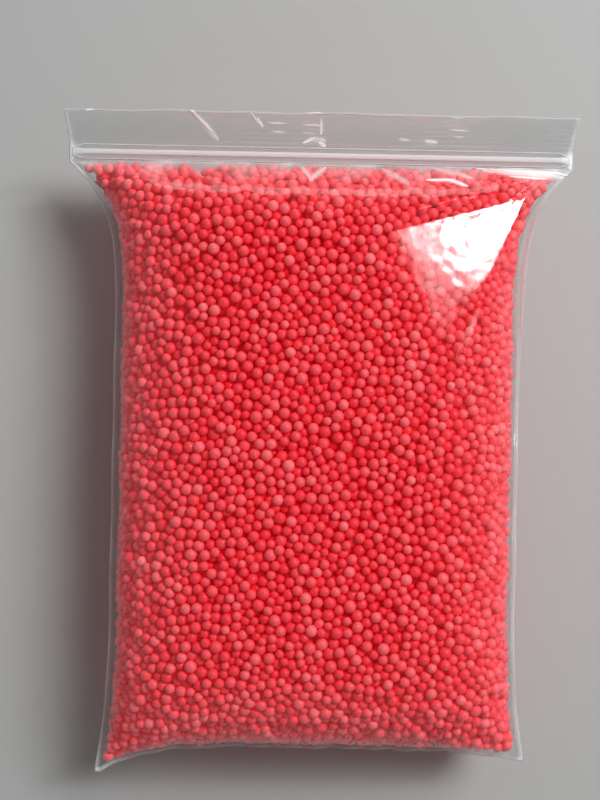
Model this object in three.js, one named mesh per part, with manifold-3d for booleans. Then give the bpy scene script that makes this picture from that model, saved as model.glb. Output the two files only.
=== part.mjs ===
// A clear press-seal bag packed full of polystyrene beads, lying on its back.
// Units are millimetres: +X runs across the bag, +Y from the bottom fold towards the mouth, +Z up.
// The origin lies under the middle of the bag, on the surface that it rests on.
import * as THREE from "three";
import { mergeVertices } from "three/addons/utils/BufferGeometryUtils.js";
import Module from "manifold-3d";

// Driving dimensions of the filled bag
const LIP_WIDTH = 140; // across the mouth, the width of the film before it was filled
const ZIP_WIDTH = 137; // from weld to weld along the closed zip
const BODY_WIDTH = 110.5; // from weld to weld at mid-length, where the fill draws the sides in
const FOLD_WIDTH = 117; // from corner to corner along the bottom fold
const BODY_LENGTH = 162; // from the middle of the bottom fold to the zip
const LIP_HEIGHT = 11; // from the zip to the free edge of the lips
const THICKNESS = 48; // from the surface underneath to the crown of the front face

// How the film hangs around the fill
const SEAM_HEIGHT = 23; // of the side welds above the surface underneath
const ZIP_HEIGHT = 23;
const FOLD_HEIGHT = 19;
const LIP_RISE = 3; // of the lips' edge above the zip
const LIP_GAPE = 2.4; // between the two lips at the middle of the mouth
const LEFT_CORNER_DROP = 7; // of the left bottom corner past the middle of the fold
const RIGHT_CORNER_DROP = 2;
const CORNER_LENGTH = 34; // over which the bottom corners spread from the body
const SHOULDER_LENGTH = 42; // over which the body spreads to the width of the zip
const SEAM_SLOPE = 38; // over which the side welds come to the height of the zip or the fold
const ZIP_END_ROUND = 23; // length of the rounded end below the zip
const FOLD_END_ROUND = 25; // length of the rounded end above the fold
const GATHER = 0.9; // height of the puckers that the seams draw into the film
const SIDE_GATHERS = 6; // puckers along each side weld
const FOLD_GATHERS = 4; // puckers along the bottom fold
const PUCKER_REACH = 15; // of the puckers into the panels

// Film and welds
const FILM = 0.15;
const WELD = 1.4; // width of the flat side welds
const FOLD_FLAT = 1.3; // width of the flat crease at the bottom
const NECK = 2.8; // flat film on either side of the zip
const PANEL_LENGTH = BODY_LENGTH - NECK - FOLD_FLAT;

// Zip: a mushroom rib on the back panel, pressed into a channel on the front panel
const RIB_STEM = 0.7;
const RIB_HEAD = 1.2;
const RIB_NECK = 0.5; // height of the stem under the head
const RIB_HEIGHT = 1.3;
const ZIP_CLEARANCE = 0.12; // between the rib and its channel
const JAW = 0.45; // wall of the channel around the rib
const ZIP_BACKING = 0.55; // thickness of the band that carries the rib
const GUIDE_RIB = 0.35; // height of the thin finger guides beside the zip
const GUIDE_SPACING = 1.95; // from the zip to each finger guide

// Fill
const FILL_CLEARANCE = 0.35; // between the film and the beads that press on it
const BEAD_PITCH = 3.9; // from crown to crown of neighbouring beads
const BEAD_HOLLOW = 0.3; // depth between neighbouring beads, as a share of their pitch
const BEAD_SCATTER = 0.25; // how unevenly the beads lie, as a share of that depth
const BEAD_SEED = 7;

// Roundness of the cross-section, the two ends and the corners, and the flat underneath
const SIDE_POWER = 3.6;
const SIDE_ROUND = 0.5;
const END_POWER = 2.5;
const END_ROUND = 0.56;
const SHOULDER_CURVE = 3.8;
const CORNER_CURVE = 1.6;
const CORNER_POWER = 4;
const REST_PRESS = 1.12; // how far the underside would bulge through the surface, in seam heights

// Facets: columns across and rows along each panel, and the share of a step next to a seam
const COLUMNS = 16;
const ROWS = 21;
const SEAM_STEP = 0.35;
const ARC_POINTS = 5;
const PROFILE_POINTS = 400; // on which an even spacing is measured
const MERGE = 1e-4;

const FRONT = 1;
const BACK = -1;
const { clamp, lerp, seededRandom, smoothstep } = THREE.MathUtils;

const wasm = await Module();
wasm.setup();

// What is left, from 1 to 0, of an effect that starts at a seam and dies out over a length.
function nearSeam(distance, length) {
  return clamp(1 - distance / length, 0, 1);
}

// Half the width of the bag between the outer edges of its welds, at a share along the panel.
function halfWidth(along) {
  const shoulder = nearSeam((1 - along) * PANEL_LENGTH, SHOULDER_LENGTH) ** SHOULDER_CURVE;
  const corner = nearSeam(along * PANEL_LENGTH, CORNER_LENGTH) ** CORNER_CURVE;
  return (BODY_WIDTH + (ZIP_WIDTH - BODY_WIDTH) * shoulder + (FOLD_WIDTH - BODY_WIDTH) * corner) / 2;
}

// Share of the full bulge at a distance from one rounded end of the body.
function endBulge(distance, length) {
  return (1 - nearSeam(distance, length) ** END_POWER) ** END_ROUND;
}

// Share of the full bulge at a place on a panel.
// Across runs from -1 to 1 between the welds, and along from 0 to 1.
function bulge(across, along) {
  const fold = endBulge(along * PANEL_LENGTH, FOLD_END_ROUND);
  const zip = endBulge((1 - along) * PANEL_LENGTH, ZIP_END_ROUND);
  return fold * zip * (1 - Math.abs(across) ** SIDE_POWER) ** SIDE_ROUND;
}

// Height of the seam plane between the two panels.
function seamHeight(along) {
  const nearZip = smoothstep(nearSeam((1 - along) * PANEL_LENGTH, SEAM_SLOPE), 0, 1);
  const nearFold = smoothstep(nearSeam(along * PANEL_LENGTH, SEAM_SLOPE), 0, 1);
  return lerp(lerp(SEAM_HEIGHT, ZIP_HEIGHT, nearZip), FOLD_HEIGHT, nearFold);
}

// Puckers that start at the side welds and the fold and die out inside the panel.
// The zip holds the film straight.
function pucker(across, along) {
  const fromWeld = (1 - Math.abs(across)) * halfWidth(along);
  const side = Math.cos(2 * Math.PI * SIDE_GATHERS * along) * nearSeam(fromWeld, PUCKER_REACH);
  const fold = Math.cos(2 * Math.PI * FOLD_GATHERS * across) * nearSeam(along * PANEL_LENGTH, PUCKER_REACH);
  return GATHER * (side + fold) * (1 - nearSeam((1 - along) * PANEL_LENGTH, PUCKER_REACH));
}

// Middle of the film between the panels, from the inner edge of the fold's crease to the zip's neck.
function seamPoint(across, along) {
  const drop = across < 0 ? LEFT_CORNER_DROP : RIGHT_CORNER_DROP;
  const y = lerp(FOLD_FLAT - drop * Math.abs(across) ** CORNER_POWER, BODY_LENGTH - NECK, along);
  const x = (halfWidth(along) - WELD) * across;
  const slack = 1 - bulge(across, along);
  return new THREE.Vector3(x, y, seamHeight(along) + slack * pucker(across, along));
}

// Outer face of one panel of the body. The back panel is pressed flat where it meets the surface underneath.
function panelPoint(across, along, face) {
  const point = seamPoint(across, along);
  const share = bulge(across, along);
  if (face === FRONT) point.z += FILM + (THICKNESS - SEAM_HEIGHT - FILM) * share;
  else point.z = Math.max(0, point.z - FILM - (REST_PRESS * seamHeight(along) - FILM) * share);
  return point;
}

// Middle of the film from the zip's neck (0) to the free edge of the lips (1).
function lipPoint(across, up) {
  const halfSpan = lerp(ZIP_WIDTH, LIP_WIDTH, up) / 2 - WELD;
  const y = lerp(BODY_LENGTH + NECK, BODY_LENGTH + LIP_HEIGHT, up);
  return new THREE.Vector3(halfSpan * across, y, ZIP_HEIGHT + LIP_RISE * up * up);
}

// Half the distance between the inner faces of the lips.
function lipOpening(across, up) {
  return (LIP_GAPE / 2) * up * (1 - across * across);
}

// A profile whose points can be spaced evenly along its length.
class Profile extends THREE.Curve {
  constructor(at) {
    super();
    this.at = at;
    this.arcLengthDivisions = PROFILE_POINTS;
  }

  getPoint(t) {
    return this.at(t);
  }
}

// Parameters of evenly spaced points on a profile, with one closer step next to each end.
function stepsAlong(at, count) {
  const profile = new Profile(at);
  const shares = [0, SEAM_STEP];
  for (let k = 1; k < count; k++) shares.push(k);
  shares.push(count - SEAM_STEP, count);
  return shares.map((share) => profile.getUtoTmapping(share / count));
}

const acrossAt = (t) => Math.sin((t - 0.5) * Math.PI);
const alongAt = (t) => (1 - Math.cos(t * Math.PI)) / 2;
const acrossSteps = stepsAlong((t) => panelPoint(acrossAt(t), 0.5, FRONT), COLUMNS).map(acrossAt);
const alongSteps = stepsAlong((t) => panelPoint(0, alongAt(t), FRONT), ROWS).map(alongAt);
const lipSteps = [0, 0.5, 1];

// A row of film with its flat side welds: the points between the welds, and one more past each end.
function withWelds(row) {
  const out = new THREE.Vector3(WELD, 0, 0);
  return [row[0].clone().sub(out), ...row, row.at(-1).clone().add(out)];
}

// Outer face of one whole panel, from the crease of the bottom fold to the free edge of the lip.
function outerPanel(face) {
  const rowAt = (along) => acrossSteps.map((across) => panelPoint(across, along, face));
  const body = alongSteps.map((along) => withWelds(rowAt(along)));
  const crease = body[0].map((point) => point.clone().setY(point.y - FOLD_FLAT));
  const lip = lipSteps.map((up) =>
    withWelds(
      acrossSteps.map((across) => {
        const point = lipPoint(across, up);
        return point.setZ(point.z + face * (FILM + lipOpening(across, up)));
      }),
    ),
  );
  return [crease, ...body, ...lip];
}

// A grid of points moved along its own normals.
function offset(grid, distance) {
  const rowAt = (i) => grid[clamp(i, 0, grid.length - 1)];
  return grid.map((row, i) =>
    row.map((point, j) => {
      const acrossStep = row[Math.min(j + 1, row.length - 1)].clone().sub(row[Math.max(j - 1, 0)]);
      const alongStep = rowAt(i + 1)[j].clone().sub(rowAt(i - 1)[j]);
      return point.clone().addScaledVector(acrossStep.cross(alongStep).normalize(), distance);
    }),
  );
}

// Inner face of one panel of the body. It closes on the seam plane at the welds, the fold and the zip.
function innerPanel(face) {
  const outer = alongSteps.map((along) => acrossSteps.map((across) => panelPoint(across, along, face)));
  const inner = offset(outer, -face * FILM);
  const lastRow = alongSteps.length - 1;
  const lastColumn = acrossSteps.length - 1;
  return inner.map((row, i) =>
    row.map((point, j) => {
      if (i % lastRow && j % lastColumn) return point;
      const seam = seamPoint(acrossSteps[j], alongSteps[i]);
      return seam.setZ(seam.z + (face * ZIP_CLEARANCE) / 2);
    }),
  );
}

// Points around the edge of a grid, anticlockwise from above.
function rimOf(rows, columns) {
  const rim = [];
  for (let j = 0; j < columns - 1; j++) rim.push([0, j]);
  for (let i = 0; i < rows - 1; i++) rim.push([i, columns - 1]);
  for (let j = columns - 1; j > 0; j--) rim.push([rows - 1, j]);
  for (let i = rows - 1; i > 0; i--) rim.push([i, 0]);
  return rim.map(([i, j]) => i * columns + j);
}

// Triangles of a grid that faces up. Diagonals alternate, so that every other point is the tip of a pyramid.
function gridTriangles(rows, columns) {
  const triangles = [];
  for (let i = 0; i < rows - 1; i++) {
    for (let j = 0; j < columns - 1; j++) {
      const a = i * columns + j;
      const [b, c, d] = [a + 1, a + columns + 1, a + columns];
      triangles.push(...((i + j) % 2 ? [a, b, c, a, c, d] : [a, b, d, b, c, d]));
    }
  }
  return triangles;
}

// Closed solid between an upper and a lower grid.
// The upper rim may have a whole number of steps to each step of the lower one.
function solidBetween(upper, lower) {
  const points = [...upper.flat(), ...lower.flat()];
  const base = upper.length * upper[0].length;
  const index = gridTriangles(upper.length, upper[0].length);
  const underside = gridTriangles(lower.length, lower[0].length);
  for (let k = 0; k < underside.length; k += 3) {
    index.push(base + underside[k], base + underside[k + 2], base + underside[k + 1]);
  }
  const upperRim = rimOf(upper.length, upper[0].length);
  const lowerRim = rimOf(lower.length, lower[0].length).map((k) => base + k);
  const ratio = upperRim.length / lowerRim.length;
  const turn = Math.ceil(ratio / 2);
  lowerRim.forEach((from, k) => {
    const to = lowerRim[(k + 1) % lowerRim.length];
    const fine = (step) => upperRim[(k * ratio + step) % upperRim.length];
    for (let step = 0; step < ratio; step++) index.push(fine(step), step < turn ? from : to, fine(step + 1));
    index.push(fine(turn), from, to);
  });
  return solidOf(new THREE.BufferGeometry().setFromPoints(points).setIndex(index));
}

// A closed geometry as a solid that can be joined and cut.
function solidOf(geometry) {
  const bare = geometry.clone();
  bare.deleteAttribute("normal");
  bare.deleteAttribute("uv");
  const merged = mergeVertices(bare, MERGE);
  const vertProperties = new Float32Array(merged.attributes.position.array);
  const triVerts = new Uint32Array(merged.index.array);
  return new wasm.Manifold(new wasm.Mesh({ numProp: 3, vertProperties, triVerts }));
}

// A solid back as a geometry for a mesh.
function geometryOf(solid) {
  const { vertProperties, triVerts } = solid.getMesh();
  const geometry = new THREE.BufferGeometry();
  geometry.setAttribute("position", new THREE.BufferAttribute(vertProperties, 3));
  geometry.setIndex(new THREE.BufferAttribute(triVerts, 1));
  return geometry.toNonIndexed();
}

// A bar along the zip from a section drawn across it, with the zip's centre as the section's origin.
function zipBar(section, length) {
  const options = { depth: length, bevelEnabled: false, curveSegments: ARC_POINTS };
  const bar = new THREE.ExtrudeGeometry(section, options);
  const turn = new THREE.Matrix4().makeBasis(
    new THREE.Vector3(0, 1, 0),
    new THREE.Vector3(0, 0, 1),
    new THREE.Vector3(1, 0, 0),
  );
  return solidOf(bar.applyMatrix4(turn).translate(-length / 2, BODY_LENGTH, ZIP_HEIGHT));
}

// Outline of the rib from one side of the zip to the other, grown by a clearance all round.
function ribOutline(grow, reach) {
  const floor = grow - ZIP_CLEARANCE / 2;
  const stem = RIB_STEM / 2 + grow;
  const head = RIB_HEAD / 2 + grow;
  const shoulder = RIB_NECK - grow;
  const cheek = shoulder + (RIB_HEAD - RIB_STEM) / 2;
  const half = [
    [reach, floor],
    [stem, floor],
    [stem, shoulder],
    [head, cheek],
    [head, (cheek + RIB_HEIGHT) / 2],
    [stem, RIB_HEIGHT + grow],
  ].map(([y, z]) => new THREE.Vector2(y, z));
  return [...half.map((p) => new THREE.Vector2(-p.x, p.y)), ...half.reverse()];
}

// The channel jaws over the rib, with the band that carries the rib underneath.
function zipBody() {
  const half = RIB_HEAD / 2 + ZIP_CLEARANCE + JAW;
  const crown = RIB_HEIGHT + ZIP_CLEARANCE + JAW;
  const section = new THREE.Shape();
  section.moveTo(-half, 0);
  section.lineTo(-half, crown - half);
  section.absarc(0, crown - half, half, Math.PI, 0, true);
  section.lineTo(half, 0);
  section.absellipse(0, 0, half, ZIP_BACKING, 0, -Math.PI, true);
  return zipBar(section, ZIP_WIDTH - WELD);
}

// Thin ridges that guide a finger along the zip, one on each side of it, on both panels.
function fingerGuides() {
  const section = new THREE.Shape().absellipse(0, 0, GUIDE_RIB, GUIDE_RIB + FILM, 0, 2 * Math.PI, false);
  const guide = zipBar(section, ZIP_WIDTH - WELD);
  return guide.translate(0, -GUIDE_SPACING, 0).add(guide.translate(0, GUIDE_SPACING, 0));
}

// The gap between the rib and its channel, and between the flat panels on both sides of the zip.
function zipSlit() {
  const reach = NECK + FILM;
  const outline = [...ribOutline(0, reach), ...ribOutline(ZIP_CLEARANCE, reach).reverse()];
  return zipBar(new THREE.Shape(outline), ZIP_WIDTH - 2 * WELD);
}

// The space between the lips, open past their free edge.
function lipSpace() {
  const past = 1 + FILM / LIP_HEIGHT;
  const face = (side) =>
    [...lipSteps, past].map((up) =>
      acrossSteps.map((across) => {
        const point = lipPoint(across, up);
        return point.setZ(point.z + side * (ZIP_CLEARANCE / 2 + lipOpening(across, up)));
      }),
    );
  return solidBetween(face(FRONT), face(BACK));
}

// The film bag in one piece: two panels joined by the bottom fold and the side welds,
// with the zip across the mouth.
function bagFilm() {
  const envelope = solidBetween(outerPanel(FRONT), outerPanel(BACK)).add(zipBody()).add(fingerGuides());
  const inside = solidBetween(innerPanel(FRONT), innerPanel(BACK)).add(zipSlit()).add(lipSpace());
  return envelope.subtract(inside);
}

// A grid with each step cut into equal parts, both ways.
function refined(grid, parts) {
  const cut = (items, mix) => {
    const steps = items.slice(1).flatMap((next, k) =>
      Array.from({ length: parts }, (_, step) => mix(items[k], next, step / parts)),
    );
    return [...steps, items.at(-1)];
  };
  const between = (a, b, share) => a.clone().lerp(b, share);
  const rows = grid.map((row) => cut(row, between));
  return cut(rows, (a, b, share) => a.map((point, j) => between(point, b[j], share)));
}

// The beads as one mass. Crowns and hollows alternate over the front, each crown the top of one bead.
function beadFill() {
  const trimmed = (grid) => grid.slice(1, -1).map((row) => row.slice(1, -1));
  const front = trimmed(offset(innerPanel(FRONT), -FILL_CLEARANCE));
  const back = trimmed(offset(innerPanel(BACK), FILL_CLEARANCE));
  const middle = front[Math.floor(front.length / 2)];
  const cell = middle[1].distanceTo(middle[2]);
  const crowns = refined(front, Math.max(1, Math.round((cell * Math.SQRT2) / BEAD_PITCH)));
  const hollows = offset(crowns, -BEAD_HOLLOW * BEAD_PITCH);
  seededRandom(BEAD_SEED);
  const surface = crowns.map((row, i) =>
    row.map((crown, j) => {
      const scatter = BEAD_SCATTER * seededRandom();
      const onRim = i === 0 || j === 0 || i === crowns.length - 1 || j === row.length - 1;
      if (onRim) return crown;
      return crown.clone().lerp(hollows[i][j], (i + j) % 2 ? 1 - scatter : scatter);
    }),
  );
  return solidBetween(surface, back);
}

// Materials
const clearFilm = new THREE.MeshStandardMaterial({
  color: 0xeef1f0,
  roughness: 0.12,
  metalness: 0,
  transparent: true,
  opacity: 0.25,
});
const redFoam = new THREE.MeshStandardMaterial({ color: 0xee4756, roughness: 0.65, metalness: 0 });

// A named mesh of one solid.
function piece(name, solid, material) {
  const mesh = new THREE.Mesh(geometryOf(solid), material);
  mesh.name = name;
  return mesh;
}

const bag = new THREE.Group();
bag.name = "bag_of_beads";
const filled = new THREE.Group();
filled.position.y = (Math.max(LEFT_CORNER_DROP, RIGHT_CORNER_DROP) - BODY_LENGTH - LIP_HEIGHT) / 2;
filled.add(piece("bag_film", bagFilm(), clearFilm), piece("bead_fill", beadFill(), redFoam));
bag.add(filled);

export default bag;
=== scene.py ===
"""Clear press-seal bag packed tight with red foam beads, lying on its back.

Three sub-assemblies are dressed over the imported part: the loose beads, the film bag with its
welds, folds and lips, and the zip that closes the mouth. Lengths are metres in the part's own
frame: +Y runs from the bottom fold to the mouth, +X across the bag and +Z up through the front.
"""

import logging
import math
from dataclasses import dataclass, field
from enum import Enum

import bpy
import numpy as np
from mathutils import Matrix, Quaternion, Vector


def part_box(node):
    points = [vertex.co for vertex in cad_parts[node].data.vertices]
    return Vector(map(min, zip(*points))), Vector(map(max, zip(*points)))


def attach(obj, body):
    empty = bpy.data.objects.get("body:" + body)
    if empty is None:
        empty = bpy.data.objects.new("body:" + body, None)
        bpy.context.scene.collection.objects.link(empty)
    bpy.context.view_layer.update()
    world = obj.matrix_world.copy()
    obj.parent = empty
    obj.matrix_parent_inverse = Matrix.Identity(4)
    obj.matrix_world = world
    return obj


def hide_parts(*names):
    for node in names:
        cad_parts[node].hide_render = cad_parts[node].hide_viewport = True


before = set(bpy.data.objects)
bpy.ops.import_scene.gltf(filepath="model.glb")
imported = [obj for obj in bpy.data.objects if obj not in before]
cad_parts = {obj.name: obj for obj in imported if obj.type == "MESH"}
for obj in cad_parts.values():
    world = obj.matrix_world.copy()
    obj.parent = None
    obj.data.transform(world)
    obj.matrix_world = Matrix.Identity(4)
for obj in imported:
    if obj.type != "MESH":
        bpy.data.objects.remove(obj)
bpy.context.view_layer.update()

LOG = logging.getLogger("bead_bag")
MM = 0.001
TINY = 1e-9
Array = np.ndarray


class Node(Enum):
    """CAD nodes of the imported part."""

    FILM = "bag_film"
    FILL = "bead_fill"


class Slot(Enum):
    """Material slots of the part's record."""

    FILM = "clear_film"
    FOAM = "red_foam"


class FilmZone(Enum):
    """Zones of the film's outer face, each with a material of its own, and its inner face."""

    PANEL = 0
    NECK = 1
    LEFT_LIP = 2
    RIGHT_LIP = 3
    INNER = 4


def near(distance: Array, reach: float) -> Array:
    """Nearness to an edge: 1 on it, falling evenly to 0 at the reach."""
    return np.clip(1.0 - distance / reach, 0.0, 1.0)


def ease(share: Array) -> Array:
    """Ease from 0 to 1 with level ends: three squares less two cubes."""
    return share * share * (3.0 - 2.0 * share)


def blend(start: Array, end: Array, share: Array) -> Array:
    """Straight blend from start to end."""
    return start + (end - start) * share


def soft_lower(first: Array, second: Array, softness: Array) -> Array:
    """Lower of two heights, with the crease between them rounded over the softness."""
    gap = np.clip(0.5 + 0.5 * (second - first) / softness, 0.0, 1.0)
    return blend(second, first, gap) - softness * gap * (1.0 - gap)


@dataclass(frozen=True)
class Facet:
    """Three-cornered flat that the taut film pulls across a shoulder of the fill.

    Attributes:
        corners: Corners on the flat, anticlockwise from above, of which the first is its tip.
        crisp: Rounding of the two creases that meet at the tip.
        fading: Rounding of the third side, where the flat runs out into the crown.
        run_out: Distance from the third side over which the rounding changes.
        steep: Slope at which the film leaves the flat's plane beside the two creases.
    """

    corners: tuple[tuple[float, float, float], ...]
    crisp: float = 0.3 * MM
    fading: float = 2.2 * MM
    run_out: float = 12 * MM
    steep: float = 0.9

    def normal(self) -> Array:
        """Outward unit normal of the flat."""
        tip, left, right = np.array(self.corners)
        way = np.cross(left - tip, right - tip)
        return way / np.linalg.norm(way)

    def height(self, x: Array, y: Array) -> Array:
        """Height of the flat's plane above the rest plane at a place."""
        nx, ny, nz = self.normal()
        tip = self.corners[0]
        return tip[2] - (nx * (x - tip[0]) + ny * (y - tip[1])) / nz

    def depth(self, points: Array) -> Array:
        """Distance of points under the flat's plane."""
        return (np.array(self.corners[0]) - points) @ self.normal()

    def beyond(self, x: Array, y: Array, side: int) -> Array:
        """Distance in plan outside one side, of which number 1 is the one opposite the tip."""
        start, end = self.corners[side], self.corners[(side + 1) % 3]
        dx, dy = end[0] - start[0], end[1] - start[1]
        return ((x - start[0]) * dy - (y - start[1]) * dx) / math.hypot(dx, dy)

    def pull(self, x: Array, y: Array, height: Array) -> Array:
        """Height of a film that the flat pulls down, and holds up beside its tip.

        The film is the softly lower of itself and a lid, which is the plane, climbing beside
        the flat. It is no lower than a tent, which is the plane, falling beside the flat and
        towards its third side.

        Args:
            x: X of each place.
            y: Y of each place.
            height: Height of the film without the flat.

        Returns:
            The height with the flat.
        """
        plane = self.height(x, y)
        behind = self.beyond(x, y, 1) + self.run_out
        softness = blend(self.crisp, self.fading, ease(np.clip(behind / self.run_out, 0.0, 1.0)))
        beside = np.maximum(np.maximum(self.beyond(x, y, 0), self.beyond(x, y, 2)), 0.0)
        lid = plane + self.steep * beside
        tent = plane - self.steep * np.maximum(beside, behind)
        return np.maximum(soft_lower(height, lid, softness), tent)


@dataclass(frozen=True)
class BagForm:
    """Form of the filled bag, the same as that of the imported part.

    Across runs from -1 to 1 between the side welds, and along from 0 at the bottom crease to 1
    at the neck under the zip.

    Attributes:
        thickness: Outer height of the bag.
        top: Y of the lips' edge.
        lip_width: Width over the lips.
        zip_width: Width at the zip.
        body_width: Width of the body between its flared ends.
        fold_width: Width at the bottom fold.
        body_length: Length from the bottom fold to the zip.
        lip_height: Length of the lips above the zip's middle line.
        seam_height: Height of the side seam along the body.
        zip_height: Height of the zip.
        fold_height: Height of the bottom fold.
        lip_rise: Rise of the lips' edge over the zip.
        lip_gape: Opening between the two lips at the middle of their edge.
        left_drop: Droop of the fold's left corner.
        right_drop: Droop of the fold's right corner.
        corner_length: Length of the flare to the fold.
        shoulder_length: Length of the flare to the zip.
        seam_slope: Length over which the seam's height changes at either end.
        zip_end_round: Length of the bulge's rounding at the zip.
        fold_end_round: Length of the bulge's rounding at the fold.
        gather: Height of the gathered seams' waves.
        side_gathers: Waves along a side.
        fold_gathers: Waves along half the fold.
        pucker_reach: Distance over which the waves die away.
        film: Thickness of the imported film.
        weld: Width of a side weld.
        fold_flat: Depth of the fold's flat strip.
        neck: Half the height of the strip that holds the zip.
        side_power: Power of the bulge's oval between the welds.
        side_round: Root of that oval.
        end_power: Power of the bulge's rounding at the ends.
        end_round: Root of that rounding.
        shoulder_curve: Power of the flare to the zip.
        corner_curve: Power of the flare to the fold.
        corner_power: Power of the corners' droop.
        rest_press: Depth of the belly over the seam's height, before the floor flattens it.
        gauge_root: Root that evens the gauge out across the fill.
        probe: Step by which the gauge's slope is measured.
        search_rounds: Rounds of back-substitution.
        least_along: Share kept clear of the crease and the neck in that search.
        facets: Flats that the taut film pulls across the fill.
    """

    thickness: float
    top: float
    lip_width: float
    zip_width: float = 137 * MM
    body_width: float = 110.5 * MM
    fold_width: float = 117 * MM
    body_length: float = 162 * MM
    lip_height: float = 11 * MM
    seam_height: float = 23 * MM
    zip_height: float = 23 * MM
    fold_height: float = 19 * MM
    lip_rise: float = 3 * MM
    lip_gape: float = 2.4 * MM
    left_drop: float = 7 * MM
    right_drop: float = 2 * MM
    corner_length: float = 34 * MM
    shoulder_length: float = 42 * MM
    seam_slope: float = 38 * MM
    zip_end_round: float = 23 * MM
    fold_end_round: float = 25 * MM
    gather: float = 0.9 * MM
    side_gathers: int = 6
    fold_gathers: int = 4
    pucker_reach: float = 15 * MM
    film: float = 0.15 * MM
    weld: float = 1.4 * MM
    fold_flat: float = 1.3 * MM
    neck: float = 2.8 * MM
    side_power: float = 3.6
    side_round: float = 0.5
    end_power: float = 2.5
    end_round: float = 0.56
    shoulder_curve: float = 3.8
    corner_curve: float = 1.6
    corner_power: float = 4.0
    rest_press: float = 1.12
    gauge_root: float = 2.6
    probe: float = 0.2 * MM
    search_rounds: int = 4
    least_along: float = 0.001
    facets: tuple[Facet, ...] = ()

    @property
    def fold_y(self) -> float:
        """Y of the bottom fold's middle."""
        return self.top - self.lip_height - self.body_length

    @property
    def zip_y(self) -> float:
        """Y of the zip's middle line."""
        return self.top - self.lip_height

    @property
    def panel_length(self) -> float:
        """Length of the panels between the bottom crease and the zip's neck."""
        return self.body_length - self.neck - self.fold_flat

    @property
    def rise(self) -> float:
        """Height of the front panel's crown above the side seam."""
        return self.thickness - self.seam_height - self.film

    def from_zip(self, along: Array) -> Array:
        """Distance from the neck under the zip."""
        return (1.0 - along) * self.panel_length

    def from_fold(self, along: Array) -> Array:
        """Distance from the bottom crease."""
        return along * self.panel_length

    def half_width(self, along: Array) -> Array:
        """Half the bag's width: the body's, flaring by a power of nearness to zip and fold."""
        shoulder = near(self.from_zip(along), self.shoulder_length) ** self.shoulder_curve
        corner = near(self.from_fold(along), self.corner_length) ** self.corner_curve
        flare = (self.zip_width - self.body_width) * shoulder
        return 0.5 * (self.body_width + flare + (self.fold_width - self.body_width) * corner)

    def end_swell(self, along: Array) -> Array:
        """Share of the full bulge that the rounded ends leave: one less a power, to a power."""
        at_fold = 1.0 - near(self.from_fold(along), self.fold_end_round) ** self.end_power
        at_zip = 1.0 - near(self.from_zip(along), self.zip_end_round) ** self.end_power
        return (at_fold * at_zip) ** self.end_round

    def side_swell(self, across: Array) -> Array:
        """Share of the full bulge between the welds: a flattened oval."""
        return np.clip(1.0 - np.abs(across) ** self.side_power, 0.0, 1.0) ** self.side_round

    def bulge(self, across: Array, along: Array) -> Array:
        """Share of the full bulge at a place on a panel."""
        return self.end_swell(along) * self.side_swell(across)

    def seam_level(self, along: Array) -> Array:
        """Height of the side seam, which eases down towards the bottom fold."""
        at_zip = ease(near(self.from_zip(along), self.seam_slope))
        at_fold = ease(near(self.from_fold(along), self.seam_slope))
        return blend(blend(self.seam_height, self.zip_height, at_zip), self.fold_height, at_fold)

    def pucker(self, across: Array, along: Array) -> Array:
        """Waves of the gathered seams: cosines that fade away from the welds and the fold."""
        side = near((1.0 - np.abs(across)) * self.half_width(along), self.pucker_reach)
        end = near(self.from_fold(along), self.pucker_reach)
        waves = np.cos(2.0 * math.pi * self.side_gathers * along) * side
        waves = waves + np.cos(2.0 * math.pi * self.fold_gathers * across) * end
        return self.gather * waves * (1.0 - near(self.from_zip(along), self.pucker_reach))

    def crease_y(self, across: Array) -> Array:
        """Y of the bottom crease, which droops to the corners by the fourth power."""
        drop = np.where(across < 0.0, self.left_drop, self.right_drop)
        return self.fold_y + self.fold_flat - drop * np.abs(across) ** self.corner_power

    def middle(self, across: Array, along: Array) -> tuple[Array, Array, Array]:
        """Place on the surface through the seams, half-way between the two panels."""
        x = (self.half_width(along) - self.weld) * across
        y = blend(self.crease_y(across), self.zip_y - self.neck, along)
        slack = 1.0 - self.bulge(across, along)
        return x, y, self.seam_level(along) + slack * self.pucker(across, along)

    def fall(self, along: Array) -> Array:
        """Depth of the back panel's belly under the seam before the rest plane stops it."""
        return self.rest_press * self.seam_level(along) - self.film

    def parameters(self, x: Array, y: Array) -> tuple[Array, Array]:
        """Across and along of a place, found by a few rounds of back-substitution."""
        across = x / (0.5 * self.body_width - self.weld)
        for _ in range(self.search_rounds):
            low = self.crease_y(np.clip(across, -1.0, 1.0))
            along = (y - low) / (self.zip_y - self.neck - low)
            along = np.clip(along, self.least_along, 1.0 - self.least_along)
            across = x / (self.half_width(along) - self.weld)
        return across, along

    def gauge(self, points: Array) -> Array:
        """Zero on the film, negative inside: a root of the oval's sum of powers, less one."""
        x, y, z = points.T
        across, along = self.parameters(x, y)
        held = np.clip(across, -1.0, 1.0)
        slack = 1.0 - self.bulge(held, along)
        lift = z - self.seam_level(along) - slack * self.pucker(held, along)
        reach = np.where(lift > 0.0, self.rise, self.fall(along)) * self.end_swell(along)
        total = np.abs(across) ** self.side_power + (lift / reach) ** 2
        return total ** (1.0 / self.gauge_root) - 1.0

    def depth(self, points: Array) -> tuple[Array, Array]:
        """Distance inside the film, from the gauge over its slope.

        Args:
            points: Places as rows of x, y and z.

        Returns:
            The distances, and the outward unit normals as rows.
        """
        here = self.gauge(points)
        steps = np.eye(3) * self.probe
        slope = np.stack([self.gauge(points + step) - here for step in steps], axis=1)
        slope = slope / self.probe
        steep = np.maximum(np.linalg.norm(slope, axis=1), TINY)
        return -here / steep, slope / steep[:, None]


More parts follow.
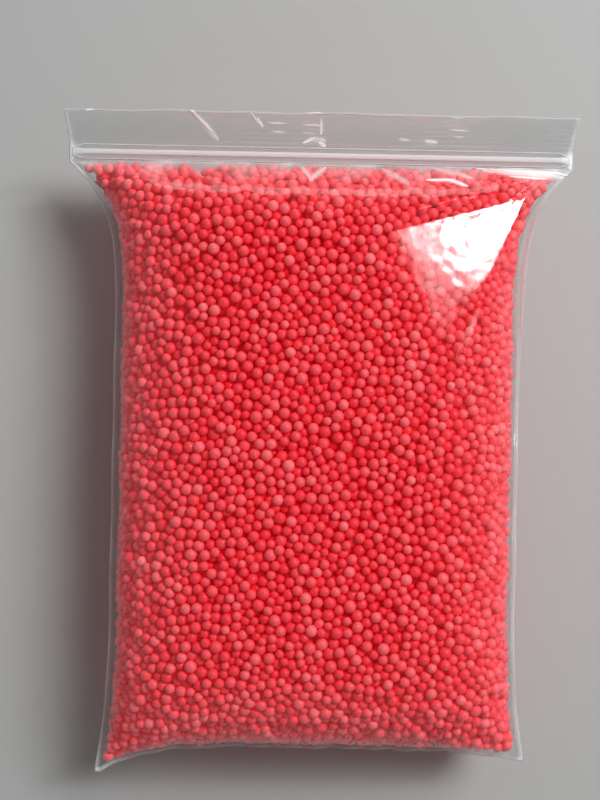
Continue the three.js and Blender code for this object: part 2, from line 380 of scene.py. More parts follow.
@dataclass(frozen=True)
class BeadGrade:
    """Sizes and packing of the loose beads.

    Attributes:
        smallest: Least diameter.
        largest: Greatest diameter.
        middling: Both powers of the beta spread, which makes middle diameters commonest.
        shell: Depth under the film of the layers that show through it.
        packed: Share of that depth's room that beads fill.
        clearance: Least gap between a bead and the film.
        hang_back: Greatest further gap, which leaves the beads' tops uneven.
        hang_power: Power that makes great gaps rarer than small ones.
        flat_clearance: Further gap under a flat of the film.
        uneven: Share by which a bead's skin strays from a ball.
        rounds: Rounds of settling.
        relist: Rounds between two listings of neighbours.
        pull: Step by which the settling draws beads to the film in its first rounds.
        tries: First places drawn, of which those in the shell may be kept.
        stiffness: Share of an overlap that one round takes out.
        skin: Margin of the neighbour lists.
        seed: Seed of the sizes, places and turns.
    """

    smallest: float = 2.2 * MM
    largest: float = 3.6 * MM
    middling: float = 2.0
    shell: float = 6.6 * MM
    packed: float = 0.52
    clearance: float = 0.25 * MM
    hang_back: float = 1.5 * MM
    hang_power: float = 1.4
    flat_clearance: float = 0.3 * MM
    uneven: float = 0.03
    rounds: int = 110
    relist: int = 6
    pull: float = 0.012 * MM
    tries: int = 200000
    stiffness: float = 0.42
    skin: float = 0.7 * MM
    seed: int = 11


class BeadPacking:
    """Settles loose beads against the inside of the film."""

    def __init__(self, form: BagForm, grade: BeadGrade) -> None:
        """Draws the beads' sizes and first places.

        Args:
            form: Form of the bag that holds the beads.
            grade: Sizes and packing of the beads.
        """
        self.form = form
        self.grade = grade
        self.random = np.random.default_rng(grade.seed)
        self.centres, self.radii = self.scatter()
        share = self.random.uniform(size=len(self.radii)) ** grade.hang_power
        self.gaps = grade.clearance + grade.hang_back * share

    def scatter(self) -> tuple[Array, Array]:
        """First places: even chance in the shell under the film, as many as fill its share.

        Returns:
            The beads' centres as rows, and their radii.
        """
        form, grade = self.form, self.grade
        half = 0.5 * form.lip_width
        low = np.array((-half, form.fold_y - form.left_drop, 0.0))
        high = np.array((half, form.zip_y, form.thickness))
        tries = self.random.uniform(low, high, (grade.tries, 3))
        depth, _ = form.depth(tries)
        depth = np.minimum(depth, tries[:, 2])
        in_shell = (depth > 0.0) & (depth < grade.shell)
        room = in_shell.mean() * np.prod(high - low)
        share = self.random.beta(grade.middling, grade.middling, grade.tries)
        radii = 0.5 * blend(grade.smallest, grade.largest, share)
        ball = 4.0 / 3.0 * math.pi * np.mean(radii**3)
        places = tries[in_shell & (depth > radii) & (depth < grade.shell - radii)]
        count = min(int(grade.packed * room / ball), len(places))
        return places[:count], radii[:count]

    def neighbours(self) -> tuple[Array, Array]:
        """Pairs of beads closer than their radii and the margin, from sorted cells."""
        size = self.grade.largest + self.grade.skin
        cells = np.floor((self.centres - self.centres.min(axis=0)) / size).astype(np.int64) + 1
        spans = cells.max(axis=0) + 2
        strides = np.array((1, spans[0], spans[0] * spans[1]))
        keys = cells @ strides
        order = np.argsort(keys, kind="stable")
        ranked = keys[order]
        shifts = [
            (dx, dy, dz) for dz in (-1, 0, 1) for dy in (-1, 0, 1) for dx in (-1, 0, 1)
        ]
        firsts, seconds = [], []
        for shift in shifts[len(shifts) // 2 :]:
            wanted = ranked + np.array(shift) @ strides
            start = np.searchsorted(ranked, wanted, "left")
            size_of = np.searchsorted(ranked, wanted, "right") - start
            first = np.repeat(np.arange(len(ranked)), size_of)
            before = np.repeat(np.cumsum(size_of) - size_of, size_of)
            second = np.arange(len(first)) - before + np.repeat(start, size_of)
            if shift == (0, 0, 0):
                kept = second > first
                first, second = first[kept], second[kept]
            firsts.append(order[first])
            seconds.append(order[second])
        first, second = np.concatenate(firsts), np.concatenate(seconds)
        gap = np.linalg.norm(self.centres[second] - self.centres[first], axis=1)
        close = gap < self.radii[first] + self.radii[second] + self.grade.skin
        return first[close], second[close]

    def push_apart(self, first: Array, second: Array) -> None:
        """Moves each overlapping pair apart along its line of centres."""
        line = self.centres[second] - self.centres[first]
        gap = np.maximum(np.linalg.norm(line, axis=1), TINY)
        overlap = np.maximum(self.radii[first] + self.radii[second] - gap, 0.0)
        move = line * (self.grade.stiffness * overlap / gap)[:, None]
        total = len(self.radii)
        shift = [
            np.bincount(second, move[:, axis], total) - np.bincount(first, move[:, axis], total)
            for axis in range(3)
        ]
        self.centres += np.stack(shift, axis=1)

    def keep_inside(self, pull: float) -> None:
        """Pulls beads out to the film, and back where film, floor or flat stops them."""
        depth, outward = self.form.depth(self.centres)
        room = depth - self.radii - self.gaps
        sunk = np.maximum(depth + self.radii - self.grade.shell, 0.0)
        step = np.minimum(room, np.maximum(pull, sunk))
        self.centres += outward * step[:, None]
        margin = self.radii + self.form.film + self.grade.clearance
        self.centres[:, 2] = np.maximum(self.centres[:, 2], margin)
        across, _ = self.form.parameters(self.centres[:, 0], self.centres[:, 1])
        low = self.form.crease_y(np.clip(across, -1.0, 1.0)) + margin
        high = self.form.zip_y - self.form.neck - margin
        self.centres[:, 1] = np.clip(self.centres[:, 1], low, high)
        for facet in self.form.facets:
            over = self.radii + self.gaps + self.grade.flat_clearance
            over = over - facet.depth(self.centres)
            self.centres -= facet.normal() * np.maximum(over, 0.0)[:, None]

    def settle(self) -> tuple[Array, Array]:
        """Runs the rounds of settling.

        Returns:
            The beads' centres as rows, and their radii.
        """
        for turn in range(self.grade.rounds):
            if turn % self.grade.relist == 0:
                first, second = self.neighbours()
            self.push_apart(first, second)
            self.keep_inside(self.grade.pull * (1.0 - turn / self.grade.rounds))
        return self.centres, self.radii


def put_mesh(name: str, vertices: Array, faces: Array) -> bpy.types.Object:
    """Makes a smooth mesh object at the origin from whole arrays.

    Args:
        name: Name of the object and its mesh.
        vertices: Places as rows of x, y and z.
        faces: Vertex numbers as rows, all with as many corners.

    Returns:
        The new object, linked to the scene.
    """
    mesh = bpy.data.meshes.new(name)
    mesh.vertices.add(len(vertices))
    mesh.vertices.foreach_set("co", np.ascontiguousarray(vertices, dtype=np.float32).ravel())
    mesh.loops.add(faces.size)
    mesh.loops.foreach_set("vertex_index", np.ascontiguousarray(faces, dtype=np.int32).ravel())
    mesh.polygons.add(len(faces))
    corners = faces.shape[1]
    mesh.polygons.foreach_set("loop_start", np.arange(len(faces), dtype=np.int32) * corners)
    mesh.update(calc_edges=True)
    mesh.polygons.foreach_set("use_smooth", np.ones(len(faces), dtype=bool))
    made = bpy.data.objects.new(name, mesh)
    bpy.context.scene.collection.objects.link(made)
    return made


def put_values(made: bpy.types.Object, name: str, values: Array) -> None:
    """Stores one number a vertex as a named attribute for the materials."""
    layer = made.data.attributes.new(name, "FLOAT", "POINT")
    layer.data.foreach_set("value", np.ascontiguousarray(values, dtype=np.float32).ravel())


def grid_faces(numbers: Array) -> Array:
    """Four-cornered faces over a grid of vertex numbers, rows along +Y and columns along +X."""
    corners = (numbers[:-1, :-1], numbers[:-1, 1:], numbers[1:, 1:], numbers[1:, :-1])
    return np.stack(corners, axis=-1).reshape(-1, 4)


class NodeBoard:
    """Adds and links the nodes of one material or node group."""

    def __init__(self, tree: bpy.types.NodeTree) -> None:
        """Starts on an empty tree."""
        self.tree = tree
        tree.nodes.clear()

    def add(self, kind: str, inputs: dict | None = None, **settings: object) -> bpy.types.Node:
        """Adds a node.

        Args:
            kind: Blender's name of the node's type.
            inputs: Values, or sockets to link, by input name or number.
            settings: Properties of the node itself.

        Returns:
            The new node.
        """
        node = self.tree.nodes.new(kind)
        for name, value in settings.items():
            setattr(node, name, value)
        for key, value in (inputs or {}).items():
            if isinstance(value, bpy.types.NodeSocket):
                self.tree.links.new(value, node.inputs[key])
            else:
                node.inputs[key].default_value = value
        return node

    def maths(self, operation: str, *values: object, clamp: bool = False) -> bpy.types.NodeSocket:
        """Result of a Math node on numbers or sockets."""
        inputs = dict(enumerate(values))
        return self.add("ShaderNodeMath", inputs, operation=operation, use_clamp=clamp).outputs[0]

    def attribute(self, name: str) -> bpy.types.NodeSocket:
        """Value of a named attribute of the mesh."""
        return self.add("ShaderNodeAttribute", attribute_name=name).outputs["Fac"]

    def place(self) -> bpy.types.NodeSocket:
        """Object coordinates of the shaded place."""
        return self.add("ShaderNodeTexCoord").outputs["Object"]


def new_material(name: str) -> tuple[bpy.types.Material, NodeBoard]:
    """Makes an empty node material.

    Args:
        name: Name of the material.

    Returns:
        The material, and the board of its node tree.
    """
    material = bpy.data.materials.new(name)
    material.use_nodes = True
    return material, NodeBoard(material.node_tree)


@dataclass(frozen=True)
class FilmLine:
    """A straight crease in the front film: whitened by handling, and partly a painted glint.

    Attributes:
        start: One end, as x and y on the bag.
        end: Other end.
        width: Half-width.
        whitened_and_glint: Whiteness of the crease, with its painted glint.
    """

    start: tuple[float, float]
    end: tuple[float, float]
    width: float
    whitened_and_glint: float


def line_mask_group() -> bpy.types.NodeTree:
    """Node group that masks a straight line on the bag.

    The mask is 1 on the line between two ends, and eases to 0 at the line's half-width, measured
    in plan. The half-width is greatest half-way and narrows to the ends by the root of four times
    the share along the line times the share left.

    Returns:
        The group, with inputs Place, Start, End and Width and the output Mask.
    """
    group = bpy.data.node_groups.new("film_line", "ShaderNodeTree")
    for name in ("Place", "Start", "End"):
        group.interface.new_socket(name, in_out="INPUT", socket_type="NodeSocketVector")
    group.interface.new_socket("Width", in_out="INPUT", socket_type="NodeSocketFloat")
    group.interface.new_socket("Mask", in_out="OUTPUT", socket_type="NodeSocketFloat")
    board = NodeBoard(group)
    ins = board.add("NodeGroupInput").outputs

    def vector(operation: str, *values: object) -> bpy.types.Node:
        """A Vector Math node on vectors or sockets."""
        return board.add("ShaderNodeVectorMath", dict(enumerate(values)), operation=operation)

    plan = vector("MULTIPLY", ins["Place"], (1.0, 1.0, 0.0)).outputs[0]
    from_start = vector("SUBTRACT", plan, ins["Start"]).outputs[0]
    whole = vector("SUBTRACT", ins["End"], ins["Start"]).outputs[0]
    ahead = vector("DOT_PRODUCT", from_start, whole).outputs["Value"]
    square = vector("DOT_PRODUCT", whole, whole).outputs["Value"]
    share = board.maths("DIVIDE", ahead, square, clamp=True)
    foot = board.add("ShaderNodeVectorMath", {0: whole, "Scale": share}, operation="SCALE")
    aside = vector("SUBTRACT", from_start, foot.outputs[0]).outputs[0]
    away = vector("LENGTH", aside).outputs["Value"]
    left = board.maths("SUBTRACT", 1.0, share)
    taper = board.maths("SQRT", board.maths("MULTIPLY", share, left))
    width = board.maths("MULTIPLY", board.maths("MULTIPLY", taper, 2.0), ins["Width"])
    mask = board.add(
        "ShaderNodeMapRange",
        {"Value": away, "From Max": width, "To Min": 1.0, "To Max": 0.0},
        interpolation_type="SMOOTHSTEP",
    )
    board.add("NodeGroupOutput", {"Mask": mask.outputs[0]})
    return group


@dataclass(frozen=True)
class FoamFinish:
    """Finish of the dyed foam beads.

    Attributes:
        dye: Colour of a bead of middle tone.
        pale: Colour of the palest bead.
        deep: Colour at the lowest tone, reached by painted shade on beads far behind the film.
        roughness: Roughness of the skin.
        shine: Specular level of the skin.
        painted_glow: Colour of painted light, emitted by each bead in place of light through its
            neighbours.
        painted_glow_strength: Strength of that painted light.
        middle: Tone that has the colour of the dye.
        cells: Foam cells to a metre.
        cell_detail: Finer steps of the cell pattern.
        cell_depth: Depth of the cell pattern.
    """

    dye: tuple[float, float, float, float] = (0.92, 0.044, 0.064, 1.0)
    pale: tuple[float, float, float, float] = (0.96, 0.185, 0.205, 1.0)
    deep: tuple[float, float, float, float] = (0.84, 0.008, 0.022, 1.0)
    roughness: float = 0.42
    shine: float = 1.0
    painted_glow: tuple[float, float, float, float] = (1.0, 0.0, 0.03, 1.0)
    painted_glow_strength: float = 0.075
    middle: float = 0.5
    cells: float = 2600.0
    cell_detail: float = 1.0
    cell_depth: float = 0.03 * MM

    def material(self) -> bpy.types.Material:
        """Matt foam with fine cells, painted emitted light, and a tone that holds painted shade."""
        material, board = new_material("bead_foam")
        # The tone is each bead's own tone, less painted shade for beads behind the film.
        tone = board.add("ShaderNodeValToRGB", {"Fac": board.attribute("tone")})
        ramp = tone.color_ramp
        ramp.elements[0].color = self.deep
        ramp.elements[1].color = self.pale
        ramp.elements.new(self.middle).color = self.dye
        cells = board.add(
            "ShaderNodeTexNoise",
            {"Vector": board.place(), "Scale": self.cells, "Detail": self.cell_detail},
        )
        skin = board.add(
            "ShaderNodeBump", {"Height": cells.outputs["Fac"], "Distance": self.cell_depth}
        )
        foam = board.add(
            "ShaderNodeBsdfPrincipled",
            {
                "Base Color": tone.outputs["Color"],
                "Roughness": self.roughness,
                "Specular IOR Level": self.shine,
                # Painted light: the foam emits dim red light in place of light passed on by its
                # neighbours.
                "Emission Color": self.painted_glow,
                "Emission Strength": self.painted_glow_strength,
                "Normal": skin.outputs["Normal"],
            },
        )
        board.add("ShaderNodeOutputMaterial", {"Surface": foam.outputs[0]})
        return material


@dataclass(frozen=True)
class CoreFinish:
    """Finish of the beads that lie too deep to be told apart.

    Attributes:
        dye: Colour of the deep beads.
        roughness: Roughness of the deep beads.
    """

    dye: tuple[float, float, float, float] = (0.80, 0.03, 0.045, 1.0)
    roughness: float = 0.9

    def material(self) -> bpy.types.Material:
        """Plain deep red."""
        material, board = new_material("deep_foam")
        foam = board.add(
            "ShaderNodeBsdfPrincipled", {"Base Color": self.dye, "Roughness": self.roughness}
        )
        board.add("ShaderNodeOutputMaterial", {"Surface": foam.outputs[0]})
        return material


@dataclass(frozen=True)
class FilmFinish:
    """Finish of the clear film.

    Attributes:
        tint: Colour of light that passes the film.
        milk: Colour of stress-whitened film, also of painted glints and painted reflection.
        mirror: Share of light that the film mirrors when seen square on.
        facing_blend: Blend of the facing weight, at which it is one less a cosine.
        grazing_power: Power by which the mirrored share grows to a grazing view.
        gloss: Roughness of the mirror.
        milk_roughness: Roughness of whitened film.
        bead_scale: Beads to a metre, for the film's cling over them.
        bead_detail: Finer steps of the cling.
        cling: Depth of that cling, in millimetres.
        crinkle_scale: Crinkles to a metre in the lips.
        crinkle_detail: Finer steps of the crinkles.
        crinkle_swirl: Distortion of the crinkles.
        crinkle: Depth of the crinkles, in millimetres.
        draw_lines: Lines to a metre that extrusion leaves along the lips.
        draw_runs: Runs of those lines to a metre.
        run_detail: Finer steps of the runs.
        run_from: Noise at which a run starts, and at which its lines are whole.
        draw_narrow: Height on the wave above which a line shows.
        draw_depth: Depth of those lines, in millimetres.
        draw_milk: Whiteness of those lines.
        line_depth: Depth of a crease, in millimetres.
    """

    tint: tuple[float, float, float, float] = (0.985, 0.99, 0.99, 1.0)
    milk: tuple[float, float, float, float] = (0.93, 0.94, 0.95, 1.0)
    mirror: float = 0.08
    facing_blend: float = 0.5
    grazing_power: float = 5.0
    gloss: float = 0.09
    milk_roughness: float = 0.35
    bead_scale: float = 330.0
    bead_detail: float = 0.0
    cling: float = 0.05
    crinkle_scale: float = 120.0
    crinkle_detail: float = 2.0
    crinkle_swirl: float = 0.6
    crinkle: float = 0.35
    draw_lines: float = 5200.0
    draw_runs: float = 45.0
    run_detail: float = 1.0
    run_from: tuple[float, float] = (0.45, 0.65)
    draw_narrow: float = 0.5
    draw_depth: float = 0.012
    draw_milk: float = 0.06
    line_depth: float = 0.25

    def inner_material(self) -> bpy.types.Material:
        """Inner face of the film, which only passes light, as the outer face mirrors for both."""
        material, board = new_material("inner_film")
        clear = board.add("ShaderNodeBsdfTransparent", {"Color": self.tint})
        board.add("ShaderNodeOutputMaterial", {"Surface": clear.outputs[0]})
        return material

    def panel_material(self) -> bpy.types.Material:
        """Clear glossy film drawn over the beads, with whitened welds and fold."""
        material, board = new_material("panel_film")
        beads = board.add(
            "ShaderNodeTexNoise",
            {"Vector": board.place(), "Scale": self.bead_scale, "Detail": self.bead_detail},
        )
        height = board.maths("MULTIPLY", beads.outputs["Fac"], self.cling)
        bump = board.add("ShaderNodeBump", {"Height": height, "Distance": MM})
        self.finish(board, board.attribute("milk"), bump.outputs["Normal"])
        return material

    def mouth_material(self, name: str, lines: list[FilmLine]) -> bpy.types.Material:
        """Clear glossy film of a mouth zone: drawn lines, crinkles, creases and painted glints.

        Args:
            name: Name of the material.
            lines: Creases of the zone's front film, partly painted glints.

        Returns:
            The zone's material.
        """
        material, board = new_material(name)
        place = board.place()
        front = board.attribute("front")
        lip = board.attribute("lip")
        # Whitened creases, partly painted glints, on the front film only.
        creases_and_glints = board.maths("MULTIPLY", self.line_mask(board, place, lines), front)
        drawn = self.drawn_lines(board, place, lip)
        whitening_and_glints = board.maths("MULTIPLY_ADD", drawn, self.draw_milk, board.attribute("milk"))
        whitening_and_glints = board.maths("ADD", whitening_and_glints, creases_and_glints, clamp=True)
        self.finish(board, whitening_and_glints, self.relief(board, place, lip, drawn, creases_and_glints))
        return material

    def drawn_lines(
        self, board: NodeBoard, place: bpy.types.NodeSocket, lip: bpy.types.NodeSocket
    ) -> bpy.types.NodeSocket:
        """Mask of the lines that extrusion leaves along the lips, in broken runs.

        Args:
            board: Board of the material.
            place: Object coordinates.
            lip: Mask of the lips.

        Returns:
            The mask.
        """
        along = board.add("ShaderNodeSeparateXYZ", {0: place}).outputs["Y"]
        wave = board.maths("SINE", board.maths("MULTIPLY", along, self.draw_lines))
        runs = board.add(
            "ShaderNodeTexNoise",
            {"Vector": place, "Scale": self.draw_runs, "Detail": self.run_detail},
        )
        start, whole = self.run_from
        kept = board.add(
            "ShaderNodeMapRange",
            {"Value": runs.outputs["Fac"], "From Min": start, "From Max": whole},
        )
        narrow = board.add("ShaderNodeMapRange", {"Value": wave, "From Min": self.draw_narrow})
        mask = board.maths("MULTIPLY", narrow.outputs[0], kept.outputs[0])
        return board.maths("MULTIPLY", mask, lip)

    def finish(
        self, board: NodeBoard, whitening_and_glints: bpy.types.NodeSocket, normal: bpy.types.NodeSocket
    ) -> None:
        """Joins clear film, its mirrored light and whitened film with painted glints into the
        surface.

        Args:
            board: Board of the material.
            whitening_and_glints: Share of whitened film, which includes painted glints and painted
                reflection.
            normal: Bumped normal.
        """
        facing = board.add(
            "ShaderNodeLayerWeight", {"Blend": self.facing_blend, "Normal": normal}
        )
        grazing = board.maths("POWER", facing.outputs["Facing"], self.grazing_power)
        mirrored = board.maths("MULTIPLY_ADD", grazing, 1.0 - self.mirror, self.mirror)
        clear = board.add("ShaderNodeBsdfTransparent", {"Color": self.tint})
        sheen = board.add("ShaderNodeBsdfAnisotropic", {"Roughness": self.gloss, "Normal": normal})
        film = board.add(
            "ShaderNodeMixShader", {0: mirrored, 1: clear.outputs[0], 2: sheen.outputs[0]}
        )
        # Whitened film, which also shows the painted glints and painted reflection.
        whitened_and_glint = board.add(
            "ShaderNodeBsdfPrincipled",
            {"Base Color": self.milk, "Roughness": self.milk_roughness, "Normal": normal},
        )
        whole = board.add("ShaderNodeMixShader", {0: whitening_and_glints, 1: film.outputs[0], 2: whitened_and_glint.outputs[0]})
        board.add("ShaderNodeOutputMaterial", {"Surface": whole.outputs[0]})

    def line_mask(
        self, board: NodeBoard, place: bpy.types.NodeSocket, lines: list[FilmLine]
    ) -> bpy.types.NodeSocket:
        """Whitened creases with painted glints: the greatest of their masks times their whiteness.

        Args:
            board: Board of the material.
            place: Object coordinates.
            lines: The creases.

        Returns:
            The whiteness.
        """
        group = bpy.data.node_groups.get("film_line") or line_mask_group()
        total = 0.0
        for line in lines:
            inputs = {
                "Place": place,
                "Start": (*line.start, 0.0),
                "End": (*line.end, 0.0),
                "Width": line.width,
            }
            one = board.add("ShaderNodeGroup", inputs, node_tree=group)
            # Painted glint: a crease's whiteness also stands in for light that it mirrors.
            whitened_and_glint = board.maths("MULTIPLY", one.outputs[0], line.whitened_and_glint)
            total = board.maths("MAXIMUM", total, whitened_and_glint)
        return total

    def relief(
        self,
        board: NodeBoard,
        place: bpy.types.NodeSocket,
        lip: bpy.types.NodeSocket,
        drawn: bpy.types.NodeSocket,
        creases_and_glints: bpy.types.NodeSocket,
    ) -> bpy.types.NodeSocket:
        """Normal of the mouth's film: crinkles, drawn lines and creases.

        Args:
            board: Board of the film's material.
            place: Object coordinates.
            lip: Mask of the lips.
            drawn: Mask of the drawn lines.
            creases_and_glints: Whiteness of the creases with their painted glints.

        Returns:
            The bumped normal.
        """
        noise = board.add(
            "ShaderNodeTexNoise",
            {
                "Vector": place,
                "Scale": self.crinkle_scale,
                "Detail": self.crinkle_detail,
                "Distortion": self.crinkle_swirl,
            },
        )
        crinkle = board.maths("MULTIPLY", noise.outputs["Fac"], self.crinkle)
        slack = board.maths("MULTIPLY", crinkle, lip)
        slack = board.maths("MULTIPLY_ADD", drawn, self.draw_depth, slack)
        height = board.maths("MULTIPLY_ADD", creases_and_glints, self.line_depth, slack)
        bump = board.add("ShaderNodeBump", {"Height": height, "Distance": MM})
        return bump.outputs["Normal"]


@dataclass(frozen=True)
class ZipFinish:
    """Finish of the solid plastic of the zip.

    Attributes:
        tint: Colour of the plastic.
        roughness: Roughness of the plastic.
        cover: Share of light that the plastic stops.
    """

    tint: tuple[float, float, float, float] = (0.84, 0.85, 0.87, 1.0)
    roughness: float = 0.22
    cover: float = 0.6

    def material(self) -> bpy.types.Material:
        """Milky half-clear plastic."""
        material, board = new_material("zip_plastic")
        plastic = board.add(
            "ShaderNodeBsdfPrincipled",
            {"Base Color": self.tint, "Roughness": self.roughness, "Alpha": self.cover},
        )
        board.add("ShaderNodeOutputMaterial", {"Surface": plastic.outputs[0]})
        return material


def ball_mesh() -> tuple[Array, Array]:
    """Ball of sixty faces: a dodecahedron with a point raised over each face.

    Returns:
        Unit places as rows, and the faces' vertex numbers as rows, outward.
    """
    golden = 0.5 * (1.0 + math.sqrt(5.0))
    signs = np.array((-1.0, 1.0))
    cube = np.stack(np.meshgrid(signs, signs, signs), axis=-1).reshape(-1, 3)
    pairs = np.stack(np.meshgrid(signs, signs), axis=-1).reshape(-1, 2)
    flat = np.column_stack((np.zeros(4), pairs[:, 0] / golden, pairs[:, 1] * golden))
    corners = np.vstack((cube, flat, np.roll(flat, 1, axis=1), np.roll(flat, 2, axis=1)))
    corners /= np.linalg.norm(corners, axis=1)[:, None]
    peak = np.column_stack((np.zeros(4), pairs[:, 0] * golden, pairs[:, 1]))
    peaks = np.vstack((peak, np.roll(peak, 1, axis=1), np.roll(peak, 2, axis=1)))
    peaks /= np.linalg.norm(peaks, axis=1)[:, None]
    rings = np.argsort(-(peaks @ corners.T), axis=1)[:, :5]
    faces = []
    for number, ring in enumerate(rings):
        side = np.cross(peaks[number], corners[ring[0]])
        ahead = np.cross(side, peaks[number])
        aside = np.cross(peaks[number], ahead)
        turn = np.arctan2(corners[ring] @ aside, corners[ring] @ ahead)
        ring = ring[np.argsort(turn)]
        faces.append(
            np.column_stack((np.full(5, len(corners) + number), ring, np.roll(ring, -1)))
        )
    return np.vstack((corners, peaks)), np.vstack(faces)


def random_turns(random: np.random.Generator, count: int) -> Array:
    """Evenly spread random rotation matrices, from unit quaternions."""
    quaternion = random.normal(size=(count, 4))
    w, x, y, z = (quaternion / np.linalg.norm(quaternion, axis=1)[:, None]).T
    rows = (
        (1 - 2 * (y * y + z * z), 2 * (x * y - z * w), 2 * (x * z + y * w)),
        (2 * (x * y + z * w), 1 - 2 * (x * x + z * z), 2 * (y * z - x * w)),
        (2 * (x * z - y * w), 2 * (y * z + x * w), 1 - 2 * (x * x + y * y)),
    )
    return np.stack([np.stack(row, axis=-1) for row in rows], axis=1)


@dataclass
class BeadFill:
    """The loose foam beads, and the deep fill behind them.

    Attributes:
        form: Form of the bag.
        grade: Sizes and packing of the beads.
        foam: Finish of the beads.
        core: Finish of the deep fill.
        front_tone: Mean tone of a bead against the film.
        tone_spread: Spread of the tones.
        painted_shade_depth: Depth behind the film over which painted shade lowers the tone by one.
        piece_beads: Most beads in a piece.
        core_inset: Depth of the deep fill under the film.
        core_columns: Columns of the deep fill's grid.
        core_rows: Rows of that grid.
    """

    form: BagForm
    grade: BeadGrade = field(default_factory=BeadGrade)
    foam: FoamFinish = field(default_factory=FoamFinish)
    core: CoreFinish = field(default_factory=CoreFinish)
    front_tone: float = 0.72
    tone_spread: float = 0.11
    painted_shade_depth: float = 5.0 * MM
    piece_beads: int = 3000
    core_inset: float = 5.2 * MM
    core_columns: int = 40
    core_rows: int = 60

    def build(self) -> list[bpy.types.Object]:
        """Builds the beads in a few pieces from fold to zip, and the deep fill."""
        centres, radii = BeadPacking(self.form, self.grade).settle()
        random = np.random.default_rng(self.grade.seed + 1)
        turns = random_turns(random, len(radii))
        tones = self.tones(random, centres, radii)
        ball, faces = ball_mesh()
        uneven = 1.0 + random.uniform(-self.grade.uneven, self.grade.uneven, (len(radii), len(ball)))
        places = np.einsum("nij,kj->nki", turns, ball) * (uneven * radii[:, None])[:, :, None]
        places += centres[:, None, :]
        order = np.argsort(centres[:, 1])
        pieces = []
        groups = np.array_split(order, math.ceil(len(order) / self.piece_beads))
        for number, group in enumerate(groups, start=1):
            starts = np.arange(len(group)) * len(ball)
            numbers = (starts[:, None, None] + faces[None]).reshape(-1, 3)
            piece = put_mesh(f"beads_{number}", places[group].reshape(-1, 3), numbers)
            put_values(piece, "tone", np.repeat(tones[group], len(ball)))
            pieces.append(piece)
        pieces.append(self.build_core())
        return pieces

    def tones(self, random: np.random.Generator, centres: Array, radii: Array) -> Array:
        """Tone of each bead: chance about a mean, lowered by painted shade deeper behind the film.

        Args:
            random: Source of the chance.
            centres: Centres of the beads as rows.
            radii: Radii of the beads.

        Returns:
            Tones from 0, deepest, to 1, palest.
        """
        depth, _ = self.form.depth(centres)
        for facet in self.form.facets:
            depth = np.minimum(depth, facet.depth(centres))
        depth = np.minimum(depth, centres[:, 2]) - radii
        chance = random.normal(self.front_tone, self.tone_spread, len(radii))
        # Painted shade: beads further behind the film get a lower, darker tone.
        return np.clip(chance - depth / self.painted_shade_depth, 0.0, 1.0)

    def build_core(self) -> bpy.types.Object:
        """Builds the deep fill: the bag's form drawn in by the inset on every side."""
        form, inset = self.form, self.core_inset
        across = np.sin(0.5 * math.pi * np.linspace(-1.0, 1.0, self.core_columns))
        along = 0.5 - 0.5 * np.cos(math.pi * np.linspace(0.0, 1.0, self.core_rows))
        s, v = np.meshgrid(across, along)
        x, y, z = form.middle(s, v)
        x = x * (1.0 - inset / (form.half_width(v) - form.weld))
        y = y + inset * (1.0 - 2.0 * v)
        bulge = form.bulge(s, v)
        front = z + (form.rise - inset) * bulge
        for facet in form.facets:
            front = np.minimum(front, facet.height(x, y) - inset)
        back = np.maximum(z - (form.fall(v) - inset) * bulge, inset)
        numbers = np.arange(s.size).reshape(s.shape)
        under = numbers + s.size
        under[0], under[-1] = numbers[0], numbers[-1]
        under[:, 0], under[:, -1] = numbers[:, 0], numbers[:, -1]
        vertices = np.vstack(
            [np.stack((x, y, level), axis=-1).reshape(-1, 3) for level in (front, back)]
        )
        faces = np.vstack((grid_faces(numbers), grid_faces(under)[:, ::-1]))
        used, faces = np.unique(faces, return_inverse=True)
        return put_mesh("bead_core", vertices[used], faces.reshape(-1, 4))

    def dress(self, pieces: list[bpy.types.Object]) -> None:
        """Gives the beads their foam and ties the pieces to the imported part."""
        foam, core = self.foam.material(), self.core.material()
        for piece in pieces:
            piece.data.materials.append(core if piece.name == "bead_core" else foam)
            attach(piece, "root")
            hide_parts(Node.FILL.value)


@dataclass(frozen=True)
class Gathers:
    """A row of small folds that run in from an edge of a panel.

    Attributes:
        count: Folds along the edge.
        tallest: Greatest height of a fold.
        width: Mean half-width of a fold.
        reach: Distance over which the folds die away.
        slant: Greatest sideways run of a fold for each metre it runs in.
        seed: Seed of the folds' places and sizes.
        jitter: Range of a fold's place in its share of the edge.
        widths: Range of a fold's width, as a share of the mean.
        heights: Range of a fold's height, as a share of the greatest.
        reaches: Range of a fold's reach, as a share of the whole.
        fading: Power by which a fold dies away.
    """

    count: int
    tallest: float
    width: float
    reach: float
    slant: float
    seed: int
    jitter: tuple[float, float] = (0.1, 0.9)
    widths: tuple[float, float] = (0.6, 1.5)
    heights: tuple[float, float] = (0.25, 1.0)
    reaches: tuple[float, float] = (0.5, 1.0)
    fading: float = 1.3

    def height(self, place: Array, inward: Array, length: float) -> Array:
        """Height of the folds: a sum of bells along the edge, dying away from it.

        Args:
            place: Distance along the edge.
            inward: Distance from the edge.
            length: Length of the edge.

        Returns:
            The height at each place.
        """
        random = np.random.default_rng(self.seed)
        middles = np.arange(self.count) + random.uniform(*self.jitter, self.count)
        middles = length * middles / self.count
        widths = self.width * random.uniform(*self.widths, self.count)
        heights = self.tallest * random.uniform(*self.heights, self.count)
        slants = self.slant * random.uniform(-1.0, 1.0, self.count)
        reaches = self.reach * random.uniform(*self.reaches, self.count)
        total = np.zeros_like(place)
        for fold in range(self.count):
            aside = place - middles[fold] - slants[fold] * inward
            fade = near(inward, reaches[fold]) ** self.fading
            total += heights[fold] * fade * np.exp(-((aside / widths[fold]) ** 2))
        return total


